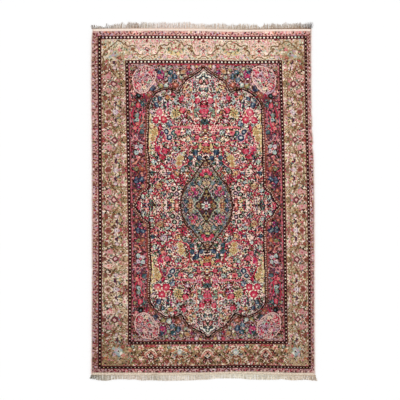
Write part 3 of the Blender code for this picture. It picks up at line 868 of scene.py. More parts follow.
def weaveSideUnit(dice):
    # Half of a side unit: the pendant at 0 across, the arch at 29, and up from the inner guard.
    chart = blankChart(mainBorder["sideHalf"], mainBorder["sideHigh"], 0, "sand")
    startUnit(chart, "side", "disc dust 0 13 8.5 1.1, disc oat 29 11 5.5 1.2, strip fawn 0 0 10 5.2",
              dice)
    draw(chart, "vine tan 0.8 0 5.6 4.6 5 9.4 1.2")
    for rib in range(5):
        vine(chart, [(rib * 2.3 + 0.6, 0.4), (rib * 2.1 + 1.8, 4.2)], 0.5, "gold" if rib % 2 else "tan")
    draw(chart, """
    vine moss 0.7 9.4 1.2 12 4.4 11 8.4 13.2 12 15.6 14,
    vine moss 0.8 14.6 21.4 19.4 22.2 24 21.6 29 22.4, vine grape 0.6 14 10.4 20 10 29 10.6,
    bloom dust/rose/wine/rose 7.2 17.2 2.4 6, bloom dust/rose 6.8 21.2 1.6 5,
    bloom rust/bark 0 21 2.2 5, bloom ash/green 3.2 15.6 1.2 5, lozenge sage 0 11.4 4.6,
    lozenge wine 0 11.4 4, lozenge dust 0 11.4 1.9, lozenge pink 0 11.4 1.3, lozenge rose 0 11.4 0.5""")
    for rib in range(3):
        vine(chart, [(0.6 + rib * 1.5, 8.2 - rib * 0.3), (2.4 + rib * 1.6, 5.6)], 0.55, "rose")
    draw(chart, """
    bloom tan/pink/rust 7.8 11 2.1 6, bloom tan/fawn 9.2 4.6 1.8 6,
    bloom bark/tan 13 12.6 1.5 5, bloom rust/umber/ruby/tan 15.4 20 2.1 6 10,
    bloom rust/dust/ruby/tan 15.8 15.4 1.7 5, disc dust 27.6 17.6 2.6 1, disc sand 24 18.6 1.8 1,
    bloom rust/umber/ruby/tan 28.8 17.6 2.6 7, bloom rust/dust/bark 23.6 18.6 1.7 6,
    leaf tan/bark 26.2 21.2 3.4 1.2 15, bloom iris/white/rose 15.6 10.2 1.8 6,
    leaf grape 20.8 11 4 1.8 12, leaf ash/green 22.6 8.2 3.2 1.5 -30,
    bloom iris/white/grape 28.8 10.4 2.7 7, bloom dust/rose/wine 17.4 3.4 1.9 6,
    bloom dust/rust 22.6 3.4 1.6 5, bloom rust/dust/bark 27.6 3 1.7 5,
    leaf hay/moss 20 6.6 3.6 1.6 25, leaf moss/hay 25.2 5.8 3 1.4 -30,
    leaf moss 12.2 7.6 2.6 1.2 70""")
    return chart


def weaveTopUnit(dice):
    # Half of a unit at the end with the ragged fringe: pale, under green arches.
    chart = blankChart(mainBorder["endHalf"], mainBorder["endHigh"], 0, "oat")
    startUnit(chart, "top", """
        patch pink 0 21 15.5 21 12.5 15.5 8.6 9.6 5.6 4.6 0 3.8, disc hay 24.6 8.4 3.8 0.9""", dice)
    draw(chart, """
    vine tan 1.1 0 3.6 2.8 3 5.4 1, vine fawn 0.9 0 1.4 2.4 1.2,
    vine tan 1.2 4.8 4.4 8.4 5.8 11 8.8 13.8 11 12.6 13.8 15.8 14.8 19.4 14.4 22.4 16.8 25.4 18.8 28.3
        20,
    dots bark 0.8 3.1 8.4 5.8 11 8.8 13.8 11 12.6 13.8 15.8 14.8 19.4 14.4 22.4 16.8 25.4 18.8 28.3 20,
    vine moss 1.1 13.6 11.2 11.2 12.2 12.4 14.4, vine dust 0.55 1.6 17.6 6 16.4 10 18 15 17.2 18.6 15.6,
    leaf rose/pink 5.4 18.8 3.2 1.4 60, leaf red/pink 9.4 18.6 3.2 1.4 120,
    leaf rose/pink 13.6 19 3.2 1.4 70, leaf rust/pink 17 18.4 3.2 1.4 35,
    leaf dust/pink 7.4 16.2 3.2 1.4 20, bloom rust/ruby 0 19 1.7 5,
    bloom moss/green 3.6 14.2 1.3 5, vine grape 0.75 0 12.6 2.8 9.6, vine rose 0.5 0 14.4 4.6 9.6,
    disc ruby 0 9.2 1.2""")
    for rib in range(3):
        vine(chart, [(4.8 + rib * 1.5, 11.4 - rib * 1.4), (6.6 + rib * 1.2, 13.6 - rib * 1.2)], 0.5, "rose")
    draw(chart, """
    bloom coral/pink 0 5.8 1.7 6, leaf gold/tan 7.6 3.2 3.4 1.5 30,
    leaf tan/gold 10.4 5.2 3.2 1.4 60, leaf tan 13.8 3 3 1.3 -20, bloom rust/tan 14.4 11.4 1.7 5,
    leaf green/sage 20.8 10.6 3.6 1.5 85, leaf moss/sage 23.8 8.6 3 1.3 30,
    leaf green/moss 27.2 8 2.8 1.3 -40, bloom iris/pink/rose 17.2 3.4 2 6,
    bloom rose/pink 21.6 3.8 1.7 6, vine rose 0.7 24.6 1 28.3 2.8, bloom rust/moss 24 15.4 1.2 5,
    vine rose 0.7 22.6 11.8 25.4 11 28.3 11.4, disc red 28.2 12.4 1, leaf moss/sage 17.8 8 3 1.2 70,
    leaf tan 22.4 19.2 2.6 1 40""")
    return chart


def weaveBottomUnit(dice):
    # Half of a unit at the other end: the same plan in deeper colours.
    chart = blankChart(mainBorder["endHalf"], mainBorder["endHigh"], 0, "fawn")
    startUnit(chart, "bottom", """
        disc oat 28 6 6.8 0.9, disc hay 9.8 3.2 3.6 0.8, disc pink 0 9.4 5.6 1.1,
        disc pink 0 16.4 3.2 0.8""", dice)
    for peak, foot, yarn, gap in ((1.8, 9.6, "rust", 1.5), (3.4, 8.2, "oat", 0.0), (4.9, 6.8, "rust", 1.5),
                                  (6.2, 5.6, "coral", 0.0)):
        bend = (foot * 0.5, peak + foot * 0.42)
        vine(chart, [(0, peak), bend, (foot, peak + foot * 0.98)], 0.85, yarn, gap)
    draw(chart, """
    vine red 1.1 0 1 4.8 1, disc bark 0 8.2 1.1 1.3, leaf green 1.8 9.8 2.8 1.1 55,
    vine white 0.6 0 12.6 2.4 10.6, vine wine 0.8 0 14.4 3.2 13.8 6 12.2,
    dots bark 0.8 1.3 0 3 3.6 4.6 6.4 8.8 5.4 12.6 0 16.4, vine tan 0.9 0 19.4 4.2 18.8 7.6 16.4,
    disc moss 0 17.8 1.2, bloom coral/rust/ruby 9.8 3 1.9 6, bloom rust/bark 7.8 10.2 1.8 5,
    bloom rust/wine/coral/bark 14.8 16.2 2.1 6, bloom pink/rose 10.4 15.6 1.6 6,
    vine tan 0.8 10.4 19.2 13 12.4 16.4 9.2 19 4.6, vine moss 0.8 12.4 6.6 16 11.6 20.6 14.2 28 17.4,
    bloom sky/white/iris 28 7.6 2.8 7, vine ruby 1 28 13.8 25.2 12,
    leaf ash/grape 23.6 10.6 4.4 1.6 5, leaf green 19.6 9.6 3 1.5 -25,
    bloom orange/coral/rust 21.6 5.6 1.9 6, bloom ash/mint 18 2.6 1.6 5, vine rose 1 21 0.9 26.4 0.9,
    bloom rust/orange/bark 24.4 15.6 1.8 5, bloom tan/gold 27.8 17.6 1.6 5""")
    scatterBlades(chart, "12.6 9.4, 17.4 13, 18.8 18.2, 22 18.8, 5.4 17.6, 12.2 18.6", 2.6, 1.2, "tan/bark")
    return chart


def scatterBlades(chart, spots, length, width, names, flip=1):
    # Single leaves, each turned by 37 degrees a square of its place across.
    for u, v in places(spots):
        leaf(chart, u, flip * v, length, width, u * 37.0, *dyeNames(names)[:2])


def weaveCorner(chart, sign):
    # Where the borders meet: the last arch turns down the side round a pale flower.
    yarns = "oat tan sage sand moss/bark" if sign > 0 else "hay fawn sky white tan/sand"
    oat, line, petal, pale, blade = yarns.split()
    draw(chart, f"""
        disc sand 89 149.6 4.4 0.95,
        vine {line} {1.0 + 0.3 * sign} 80 158.8 83 161.6 85.4 162.4 88.4 160.8 92.8 157.2 95.6 153.4 99.2 151
            101.4 146.4 100 143.2 102 139.6,
        bloom {petal}/mint/-/ash 88.2 149.6 {3.4 - 0.6 * sign} 7, disc iris 90.4 148 1.3 1.5 60,
        disc {pale} 86 151.4 1.2 1.4 40, disc {pale} 88.6 149.2 1.3, disc grape 88.4 149.4 0.9,
        bloom iris/pink/bark 92 152.4 1.7 6, bloom sky/mint/slate 93.2 146.4 1.8 6,
        leaf moss/green 92.8 143.4 4.2 1.6 -25, bloom rose/pink/red 84 153.4 1.9 6,
        bloom rust/coral/ruby 84.4 145 2 6, bloom tan/moss 94.4 160 1.5 5,
        bloom orange/tan 99.6 155.6 1.7 5, leaf sage/moss 89.2 156 3.4 1.4 35,
        leaf moss/green 96.8 149.2 3.2 1.3 -50, leaf moss/{oat} 81.6 149 3 1.2 80""", sign)
    scatterBlades(chart, """
        81 157, 83.6 147.8, 86.6 145.4, 91 141.8, 95.8 145, 97.8 158.8, 99.4 148.4, 86.2 158.2, 90.2 153.4,
        95.2 156, 82.6 143, 99.6 142""", 2.2, 1.0, blade, sign)


def endStretch(u):
    # Squares from the nearest pendant along an end border, stretched to the unit's own half width.
    spacing = mainBorder["endSpacing"]
    return np.abs(u - spacing * np.round(u / spacing)) * mainBorder["endHalf"] / (spacing / 2)


def sideStretch(v):
    # Squares from the nearest pendant along a side, stretched so that each arch lies halfway.
    pendants = np.array(mainBorder["sidePendants"][::-1])
    stops = np.concatenate([pendants[:1] - 60.0, pendants, pendants[-1:] + 60.0])
    place = np.clip(np.searchsorted(stops, v) - 1, 0, len(stops) - 2)
    share = (v - stops[place]) / (stops[place + 1] - stops[place])
    return (1.0 - np.abs(2.0 * share - 1.0)) * mainBorder["sideHalf"]


def placeUnit(chart, unit, area, stretch, height):
    # Copies a unit's knots into an area: stretch picks its column and height its row.
    rows = np.clip((height[area] * knots).astype(int), 0, unit["yarn"].shape[0] - 1)
    columns = np.clip((stretch[area] * knots).astype(int), 0, unit["yarn"].shape[1] - 1)
    for layer in ("yarn", "free"):
        chart[layer][area] = unit[layer][rows, columns]


def weavePearls(chart, start, stop, radius, colours, dice):
    # A row of pearls from one place to another along a guard.
    count = round((abs(stop[0] - start[0]) + abs(stop[1] - start[1])) / chartSize["pearlPitch"])
    for step in range(count + 1):
        u, v = (low + (high - low) * (step / count) for low, high in zip(start, stop))
        disc(chart, u, v, radius, str(dice.choice(colours.split())))


guardLook = {
    "bands": ((0.0, "wine"), (0.5, "bark"), (1.25, "black")),  # how far in from its edges, in squares
    "pale": "oat ivory white pink ivory white",
    "warm": "oat pink oat pink hay ivory",
}


def weaveGuard(chart, beginU, beginV, dice):
    # A dark stripe with pearls, round the field or round the main border.
    endU, endV = beginU + guardWidth, beginV + guardWidth
    middleU, middleV = beginU + guardWidth / 2, beginV + guardWidth / 2
    for inset, yarn in guardLook["bands"]:
        for sign in (1, -1):
            low, high = sorted((sign * (beginV + inset), sign * (endV - inset)))
            strip(chart, 0, low, endU - inset, high, yarn)
        strip(chart, beginU + inset, -endV + inset, endU - inset, endV - inset, yarn)
    side, top, bottom = chartSize["pearlRadii"]
    weavePearls(chart, (middleU, -middleV), (middleU, middleV), side, guardLook["warm"], dice)
    for sign, radius, colours in ((1, top, guardLook["pale"]), (-1, bottom, guardLook["warm"])):
        start, stop = (middleU - chartSize["pearlPitch"], sign * middleV), (0.0, sign * middleV)
        weavePearls(chart, start, stop, radius, colours, dice)


stripeLook = {  # the narrow pink stripe outside the guards
    "pitch": 3.1,  # squares from one leaf to the next
    "patch": 1.3,
    "sides": (0.6, "iris umber umber fawn dust umber"),
    "bottom": (0.5, "iris umber pink rose wine"),
    "top": (0.45, "pink iris pink fawn coral"),
    "leaves": "wine ruby wine bark umber",
    "specks": "pink bark wine ivory rose bark fawn",
}


def weaveOuterStripe(chart, dice):
    # Small leaves leaning to and fro along the stripe, specks between them.
    beginU, beginV = (begin + guardWidth for begin in chartSize["outerGuard"])
    middleU, middleV = (beginU + halfWide) / 2, (beginV + halfLong) / 2
    pitch = stripeLook["pitch"]
    ends = int((halfLong - beginV) * knots)
    stripe = np.ones_like(chart["free"])
    stripe[:, :int(beginU * knots)] = False
    stripe[:ends] = stripe[-ends:] = True
    chart["free"][stripe] = True
    sides = stripe.copy()
    sides[:ends] = sides[-ends:] = False
    bottom = stripe & ~sides
    bottom[ends:] = False
    for name, part in (("sides", sides), ("bottom", bottom), ("top", stripe & ~sides & ~bottom)):
        speckle(chart, part, stripeLook["patch"], *stripeLook[name], dice)
    spots = [(middleU, -halfLong + (step + 0.5) * pitch, step, 0)
             for step in range(int(halfLong * 2 / pitch))]
    spots += [((step + 0.5) * pitch, sign * middleV, step, 1) for sign in (1, -1)
              for step in range(int(halfWide / pitch))]
    for u, v, step, turned in spots:
        side = 0.5 if step % 2 else -0.5
        lean = (38.0 if step % 2 else 142.0) + dice.uniform(-14, 14)
        leaf(chart, u + side * (1 - turned), v + side * turned, 3.0, 1.4, lean,
             str(dice.choice(stripeLook["leaves"].split())))
        for reach in (-1.5, 1.5):
            along, across = reach * 0.5 + dice.uniform(-0.5, 0.5), reach * 1.1
            disc(chart, u + (along if turned else across), v + (across if turned else along), 0.55,
                 str(dice.choice(stripeLook["specks"].split())))


borderFill = {  # what is strewn over the main border at last, in squares
    "dotPitch": 2.9,
    "dotRadii": (0.4, 0.7),
    "dots": "bark tan moss rust green ruby",
    "paleDots": "tan moss fawn rose fawn",
    "paleChance": 0.7,  # of a dot at the pale end
    "sizes": ((0.7, 1.05), (0.4, 0.65)),  # of the small flowers
    "tries": 4400,
    "paleTries": 500,
}


def weaveBorders(dice):
    # Half of the whole rug, from end to end: guards, main border and outer stripe; the field is empty.
    chart = blankChart(halfWide, halfLong * 2, -halfLong, "dust")
    v, u = np.indices(chart["yarn"].shape)
    u, v = (u + 0.5) / knots, (v + 0.5) / knots - halfLong
    startU, startV = (begin + guardWidth for begin in chartSize["innerGuard"])
    endU, endV = chartSize["outerGuard"]
    sideBand = (u >= startU) & (u < endU)
    side = sideBand & (np.abs(v) < endV)
    placeUnit(chart, weaveSideUnit(dice), side, sideStretch(v), u - startU)
    units = {"top": weaveTopUnit(dice), "bottom": weaveBottomUnit(dice)}
    for sign, name, ground in ((1, "top", "oat"), (-1, "bottom", "sand")):
        beyond = (sign * v >= startV) & (sign * v < endV)
        placeUnit(chart, units[name], (u < startU) & beyond, endStretch(u), sign * v - startV)
        corner = sideBand & beyond
        chart["yarn"][corner] = yarnNumber[ground]
        fillArea(chart, corner, cornerGrounds[name], dice)
        weaveCorner(chart, sign)
    border = side | ((np.abs(v) >= startV) & (np.abs(v) < endV) & (u < endU))
    pale = border & (v > startV)
    dots = (borderFill["dotPitch"], borderFill["dotRadii"])
    scatterDots(chart, pale, *dots, borderFill["paleDots"], dice, borderFill["paleChance"])
    scatterDots(chart, border & ~pale, *dots, borderFill["dots"], dice)
    for sizes in borderFill["sizes"]:
        fillGround(chart, border & ~pale, borderFill["tries"], sizes, borderKinds["anywhere"], dice)
        fillGround(chart, pale, borderFill["paleTries"], sizes, borderKinds["top"], dice)
    weaveOuterStripe(chart, dice)
    for name in ("outerGuard", "innerGuard"):
        weaveGuard(chart, *chartSize[name], dice)
    return chart


wandering = {
    "room": 1.2,  # squares from a guard to where knots may stray fully
    "waves": ((8, 1.5), (70, 2.2)),  # knots across a wave, and how many knots it moves one
}


def wander(yarn, dice):
    # Moves every knot of the field and borders a little from its place, so no motif repeats exactly.
    rows, columns = np.arange(yarn.shape[0])[:, None], np.arange(yarn.shape[1])[None, :]
    u = np.abs((columns + 0.5) / knots - halfWide)
    v = np.abs((rows + 0.5) / knots - halfLong)
    room = np.full(yarn.shape, 9.0)
    for beginU, beginV in (chartSize["innerGuard"], chartSize["outerGuard"]):
        across, along = (np.abs(place - begin - guardWidth / 2) - guardWidth / 2
                         for place, begin in ((u, beginU), (v, beginV)))
        overU, overV = u - beginU - guardWidth, v - beginV - guardWidth
        within = np.where((overV < 0) & (overU < 0), np.minimum(across, along),
                          np.hypot(np.maximum(overU, 0), np.maximum(overV, 0)))
        room = np.minimum(room, np.maximum(within, 0.0))
    room = np.minimum(room / wandering["room"], 1.0)
    for cell, reach in wandering["waves"]:
        rows = rows + room * reach * softNoise(yarn.shape, cell, dice)
        columns = columns + room * reach * softNoise(yarn.shape, cell, dice)
    rows = np.clip(np.round(rows), 0, yarn.shape[0] - 1).astype(int)
    columns = np.clip(np.round(columns), 0, yarn.shape[1] - 1).astype(int)
    return yarn[rows, columns]


standIns = {  # in patches, one yarn stands in for another: the drawn one, then its stand-in
    "anywhere": """
        red/rose rose/coral slate/ash sage/sky gold/hay navy/green pink/iris plum/red
        oat/sand rust/tan ivory/pink""",
    "pale": "sand/oat fawn/sand tan/fawn rust/umber dust/pink",
    "dull": "fawn/tan sand/fawn oat/sand pink/dust ivory/mint",
}


redyePlan = {  # where, in squares from the middle of the rug; then the size of the patches
    "dullFrom": (74, 138),  # in knots, and the noise over which they are redyed
    "paleAcross": (-103, -79),
    "paleAlong": (-122, -52),
    "anywhere": (26, 0.75),
    "dull": (20, -0.5),
    "pale": (20, -0.4),
}


def standIn(yarn, patch, pair):
    drawn, other = pair.split("/")
    yarn[patch & (yarn == yarnNumber[drawn])] = yarnNumber[other]


def inPatches(yarn, name, dice):
    cell, level = redyePlan[name]
    return softNoise(yarn.shape, cell, dice) > level


def knotsBetween(begin, end, half):
    # The knots between two places in squares from the middle.
    return slice((half + begin) * knots, (half + end) * knots)


def redye(yarn, dice):
    # Changes yarns in patches, differently in each quarter: paler in one side border, duller in two corners.
    for pair in standIns["anywhere"].split():
        standIn(yarn, inPatches(yarn, "anywhere", dice), pair)
    far = np.ones(yarn.shape, bool)
    across, along = redyePlan["dullFrom"]
    far[knotsBetween(-along, along, halfLong)] = False
    far[:, knotsBetween(-across, across, halfWide)] = False
    far[:halfLong * knots, halfWide * knots:] = False
    far[halfLong * knots:, :halfWide * knots] = False
    dull = far & inPatches(yarn, "dull", dice)
    pale = np.zeros(yarn.shape, bool)
    along, across = redyePlan["paleAlong"], redyePlan["paleAcross"]
    pale[knotsBetween(*along, halfLong), knotsBetween(*across, halfWide)] = True
    pale &= inPatches(yarn, "pale", dice)
    for name, patch in (("pale", pale), ("dull", dull)):
        for pair in standIns[name].split():
            standIn(yarn, patch, pair)
    return yarn


def weaveChart():
    # The whole chart of knots, rows from the dense fringe to the ragged one, columns from left to right.
    dice = np.random.default_rng(chartSize["seed"])
    quarter = weaveField(dice)["yarn"]
    half = weaveBorders(dice)["yarn"]
    high, wide = quarter.shape
    middleRow = half.shape[0] // 2
    high = min(high, round(chartSize["innerGuard"][1] * knots))
    half[middleRow:middleRow + high, :wide] = quarter[:high]
    half[middleRow - high:middleRow, :wide] = quarter[:high][::-1]
    return redye(wander(np.hstack([half[:, ::-1], half]), dice), dice)


weavePlan = {  # where the chart's lines lie on the rug, in pixels of the photo
    "pixel": 0.00625,
    "middle": (203.0, 200.75),
    "cordLeft": -0.702,  # metres from that middle to the left cord
    "pileBottom": -1.0728,  # and to the pile's end near the dense fringe
    "rows": (37.0, 62.0, 130.0, 205.0, 250.0, 342.0, 367.0),
    "across": (  # the outer guard, the inner guard and the middle line at each of those rows
        (99.4, 99.5, 99.9, 100.1, 100.2, 99.8, 99.7),
        (126.5, 126.8, 128.0, 129.3, 130.1, 129.7, 129.6),
        (203.3, 203.5, 205.2, 206.5, 207.2, 208.0, 208.1),
        (280.0, 280.3, 282.5, 284.1, 284.9, 286.4, 286.8),
        (305.6, 306.1, 307.0, 308.6, 309.4, 309.9, 310.0),
    ),
    "columns": (96.0, 120.0, 150.0, 200.0, 238.0, 278.0, 304.0),
    "along": (  # the same lines from the dense fringe up, at each of those columns
        (367.3, 367.3, 367.3, 367.1, 366.1, 367.0, 367.5),
        (342.6, 342.6, 342.6, 342.5, 342.0, 342.3, 342.6),
        (205.4, 205.4, 205.4, 205.4, 205.4, 205.4, 205.4),
        (61.8, 61.8, 61.5, 61.6, 62.1, 61.7, 61.6),
        (37.3, 37.2, 36.8, 37.0, 37.9, 37.2, 36.9),
    ),
}


def rugX(pixels):
    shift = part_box("side_cord_left")[0].x - weavePlan["cordLeft"]
    return (np.asarray(pixels, float) - weavePlan["middle"][0]) * weavePlan["pixel"] + shift


def rugY(pixels):
    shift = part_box("knotted_pile")[0].y - weavePlan["pileBottom"]
    return (weavePlan["middle"][1] - np.asarray(pixels, float)) * weavePlan["pixel"] + shift


def outerLine(node, axis, sign, depth):
    # The outermost line of a CAD solid on one side: sorted places along it, and how far out it lies at each.
    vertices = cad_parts[node].data.vertices
    spots = np.empty(len(vertices) * 3, np.float32)
    vertices.foreach_get("co", spots)
    spots = spots.reshape(-1, 3).astype(float)
    out = spots[:, axis] * sign
    near = out > out.max() - depth
    stops, bins = np.unique(np.round(spots[near, 1 - axis], 3), return_inverse=True)
    reach = np.full(len(stops), -1e9)
    np.maximum.at(reach, bins.ravel(), out[near])
    return stops, reach * sign


def between(stops, values, at):
    # Straight-line interpolation where each stop has a whole array of values.
    result = np.array(values[0], float)
    for low, high, before, after in zip(stops, stops[1:], values, values[1:]):
        share = np.clip((at - low) / (high - low), 0.0, 1.0)
        result = np.where(at >= low, before + (after - before) * share, result)
    return result


def placeOnRug(u, v, inset):
    # Where chart places lie on the rug, guards and all. The pile's edge keeps inset metres inside the CAD's.
    stops = []
    for axis, half in enumerate((halfWide, halfLong)):
        inner, outer = (chartSize[name][axis] + guardWidth / 2 for name in ("innerGuard", "outerGuard"))
        stops.append([-half, -outer, -inner, 0.0, inner, outer, half])
    x = u * chartSize["square"]
    low, high = (np.interp(x, *outerLine("knotted_pile", 1, sign, 0.02)) - sign * inset for sign in (-1, 1))
    rows = [np.interp(x, rugX(weavePlan["columns"]), rugY(line)) for line in weavePlan["along"]]
    y = between(stops[1], [low, *rows, high], v)
    left, right = (np.interp(y, *outerLine("knotted_pile", 0, sign, 0.03)) - sign * inset for sign in (-1, 1))
    heights = rugY(weavePlan["rows"])[::-1]
    columns = [np.interp(y, heights, rugX(line)[::-1]) for line in weavePlan["across"]]
    return between(stops[0], [left, *columns, right], u), y


def addPiece(name, vertices, faces, material, smooth=True):
    mesh = bpy.data.meshes.new(name)
    mesh.from_pydata(np.asarray(vertices).tolist(), [], faces)
    mesh.materials.append(material)
    mesh.polygons.foreach_set("use_smooth", np.full(len(mesh.polygons), smooth))
    mesh.update()
    piece = bpy.data.objects.new(name, mesh)
    bpy.context.scene.collection.objects.link(piece)
    return piece


def faceValues(mesh, name, values):
    values = np.asarray(values, np.float32).ravel()
    mesh.attributes.new(name, "FLOAT", "FACE").data.foreach_set("value", values)


def gridFaces(high, wide):
    # A grid's vertex numbers as quads, and its rim from the first corner round and back.
    number = np.arange(high * wide).reshape(high, wide)
    quads = np.stack([number[:-1, :-1], number[:-1, 1:], number[1:, 1:], number[1:, :-1]], axis=-1)
    rim = np.concatenate([number[0, :-1], number[:-1, -1], number[-1, :0:-1], number[:0:-1, 0]])
    return quads.reshape(-1, 4), rim


pileBody = {
    "faceLow": 0.0027,  # the wool stands on a foundation 2.4 mm thick, 0.3 mm under it
    "faceHigh": 0.0090,
    "backLow": 0.0001,
    "backHigh": 0.0024,
    "round": 0.0022,  # radius of the worn edge, and of the back's
    "backRound": 0.0008,
    "rings": 4,
    "ripple": 0.00022,  # how far the surface rises and falls
    "cornerShare": 0.72,  # how far a ring reaches out at a corner, against the sides
    "rimSquares": 0.55,  # squares of the chart that one ring of the edge takes
    "bakeShare": 0.985,  # how much of the bake map the pattern takes
    "closingShare": (0.99, 0.008),  # where on it the closing face begins, and its height there
}


def wovenSlab(name, chart, faceZ, closeZ, rounding, ripple, material):
    # The chart's squares as a grid of faces, edges rolled over to a closing face on the other side.
    gridU, gridV = np.meshgrid(np.arange(-halfWide, halfWide + 1.0), np.arange(-halfLong, halfLong + 1.0))
    x, y = placeOnRug(gridU, gridV, rounding)
    up = 1.0 if faceZ > closeZ else -1.0
    rise = np.sin(x * 31.0 + 2.0 * np.sin(y * 9.0)) * np.sin(y * 23.0 + 1.5 * np.sin(x * 13.0))
    grid = np.stack([x, y, faceZ - up * ripple * (1.0 + rise)], axis=-1).reshape(-1, 3)
    flat = np.stack([gridU, gridV], axis=-1).reshape(-1, 2)
    high, wide = gridU.shape
    quads, rim = gridFaces(high, wide)
    squares = np.arange((high - 1) * (wide - 1)).reshape(high - 1, wide - 1)
    rimSquares = np.concatenate([squares[0], squares[:, -1], squares[-1, ::-1], squares[::-1, 0]])
    half = np.array([halfWide, halfLong])
    out = np.sign(flat[rim]) * (np.abs(flat[rim]) == half)
    corner = np.where((out != 0).all(axis=1), pileBody["cornerShare"], 1.0)[:, None]
    angles = np.linspace(0.0, np.pi / 2, pileBody["rings"])[1:]
    steps = [(np.sin(a), rounding * (1.0 - np.cos(a))) for a in angles] + [(1.0, None)]
    spots, chartSpots, faces, owners, inner = [grid], [flat], [quads], [squares.ravel()], rim
    for ring, (reach, drop) in enumerate(steps):
        outer = np.arange(len(rim)) + len(rim) * ring + high * wide
        z = np.full(len(rim), closeZ) if drop is None else grid[rim, 2] - up * drop
        spots.append(np.column_stack([grid[rim, :2] + out * corner * reach * rounding, z]))
        chartSpots.append(flat[rim] + out * pileBody["rimSquares"] * (ring + 1))
        faces.append(np.stack([outer, np.roll(outer, -1), np.roll(inner, -1), inner], axis=1))
        owners.append(rimSquares)
        inner = outer
    faces, closing = np.vstack(faces), inner[::-1]
    if up < 0:
        faces, closing = faces[:, ::-1], closing[::-1]
    piece = addPiece(name, np.vstack(spots), faces.tolist() + [closing.tolist()], material)
    mesh = piece.data
    corners = np.empty(len(mesh.loops), np.int32)
    mesh.loops.foreach_get("vertex_index", corners)
    place = np.vstack(chartSpots)[corners]
    room = half + pileBody["rimSquares"] * len(steps)
    share = (place + room) / (2 * room)
    share[:, 1] *= pileBody["bakeShare"]
    start, height = pileBody["closingShare"]
    share[len(faces) * 4:, 1] = start + share[len(faces) * 4:, 1] * height
    mesh.uv_layers.new(name="OFBake").data.foreach_set("uv", share.ravel())
    mesh.uv_layers.new(name="knots").data.foreach_set("uv", ((place + half) * knots).ravel())
    owner = np.concatenate(owners + [[0]])
    cells = chart.reshape(high - 1, knots, wide - 1, knots).astype(np.int64)
    for row in range(knots):
        packed = (cells[:, row] * len(yarns) ** np.arange(knots)).sum(axis=-1).ravel()
        faceValues(mesh, f"knotRow{row}", packed[owner])
    return piece


def linear(colour):
    # An sRGB colour of 0 to 255 as the renderer's linear one, with alpha.
    share = np.array(colour, float) / 255.0
    return (*np.where(share < 0.04045, share / 12.92, ((share + 0.055) / 1.055) ** 2.4), 1.0)


def startMaterial(name, roughness=0.95):
    material = bpy.data.materials.new(name)
    material.use_nodes = True
    shader = material.node_tree.nodes["Principled BSDF"]
    shader.inputs["Roughness"].default_value = roughness
    shader.inputs["Specular IOR Level"].default_value = 0.06
    return material, material.node_tree, shader


def addNode(tree, kind, inputs={}, **settings):
    # A node, each of its inputs fed from another node's output or set to a constant.
    node = tree.nodes.new("ShaderNode" + kind)
    for name, value in settings.items():
        setattr(node, name, value)
    for name, value in inputs.items():
        if isinstance(value, bpy.types.NodeSocket):
            tree.links.new(value, node.inputs[name])
        else:
            node.inputs[name].default_value = value
    return node


def math(tree, operation, first, second=0.0):
    return addNode(tree, "Math", {0: first, 1: second}, operation=operation).outputs[0]


def multiply(tree, first, *others):
    for other in others:
        first = math(tree, "MULTIPLY", first, other)
    return first


def blendColour(tree, share, first, second, mode="MIX"):
    return addNode(tree, "Mix", {0: share, 6: first, 7: second}, data_type="RGBA", blend_type=mode).outputs[2]


def toned(tree, colour, tone):
    # A colour times a number.
    grey = addNode(tree, "CombineXYZ", {axis: tone for axis in range(3)})
    return blendColour(tree, 1.0, colour, grey.outputs[0], "MULTIPLY")


def noise(tree, vector, scale, detail=2.0, stretch=(1.0, 1.0, 1.0)):
    mapped = addNode(tree, "Mapping", {"Vector": vector, "Scale": stretch}).outputs[0]
    return addNode(tree, "TexNoise", {"Vector": mapped, "Scale": scale, "Detail": detail}).outputs["Fac"]


def remap(tree, value, low, high, toLow, toHigh):
    inputs = {"Value": value, "From Min": low, "From Max": high, "To Min": toLow, "To Max": toHigh}
    return addNode(tree, "MapRange", inputs).outputs[0]


def around(tree, value, low, high, amount):
    # One, give or take an amount, as the value goes from low to high.
    return remap(tree, value, low, high, 1.0 - amount, 1.0 + amount)


def ramp(tree, value, stops, interpolation="LINEAR"):
    # A colour ramp through (place, linear colour) pairs.
    node = addNode(tree, "ValToRGB", {0: value})
    node.color_ramp.interpolation = interpolation
    elements = node.color_ramp.elements
    elements.remove(elements[-1])
    for number, (place, colour) in enumerate(stops):
        element = elements.new(place) if number else elements[0]
        element.position, element.color = place, colour
    return node.outputs[0]


def colourStops(text):
    # Pairs for a ramp, parted by commas: a place, then the red, green and blue of the wool there.
    rows = [[float(number) for number in row.split()] for row in text.split(",")]
    return [(place, linear(colour)) for place, *colour in rows]


def curve(tree, value, stops, limit):
    # A number that follows (place, value) pairs in straight lines. No value is over the limit.
    low, high = stops[0][0], stops[-1][0]
    greys = [((place - low) / (high - low), (*[amount / limit] * 3, 1.0)) for place, amount in stops]
    return multiply(tree, ramp(tree, remap(tree, value, low, high, 0.0, 1.0), greys), limit)


def bump(tree, shader, height, strength, distance):
    node = addNode(tree, "Bump", {"Height": height, "Strength": strength, "Distance": distance})
    tree.links.new(node.outputs[0], shader.inputs["Normal"])


def objectPlace(tree):
    place = addNode(tree, "TexCoord").outputs["Object"]
    return place, addNode(tree, "SeparateXYZ", {0: place}).outputs


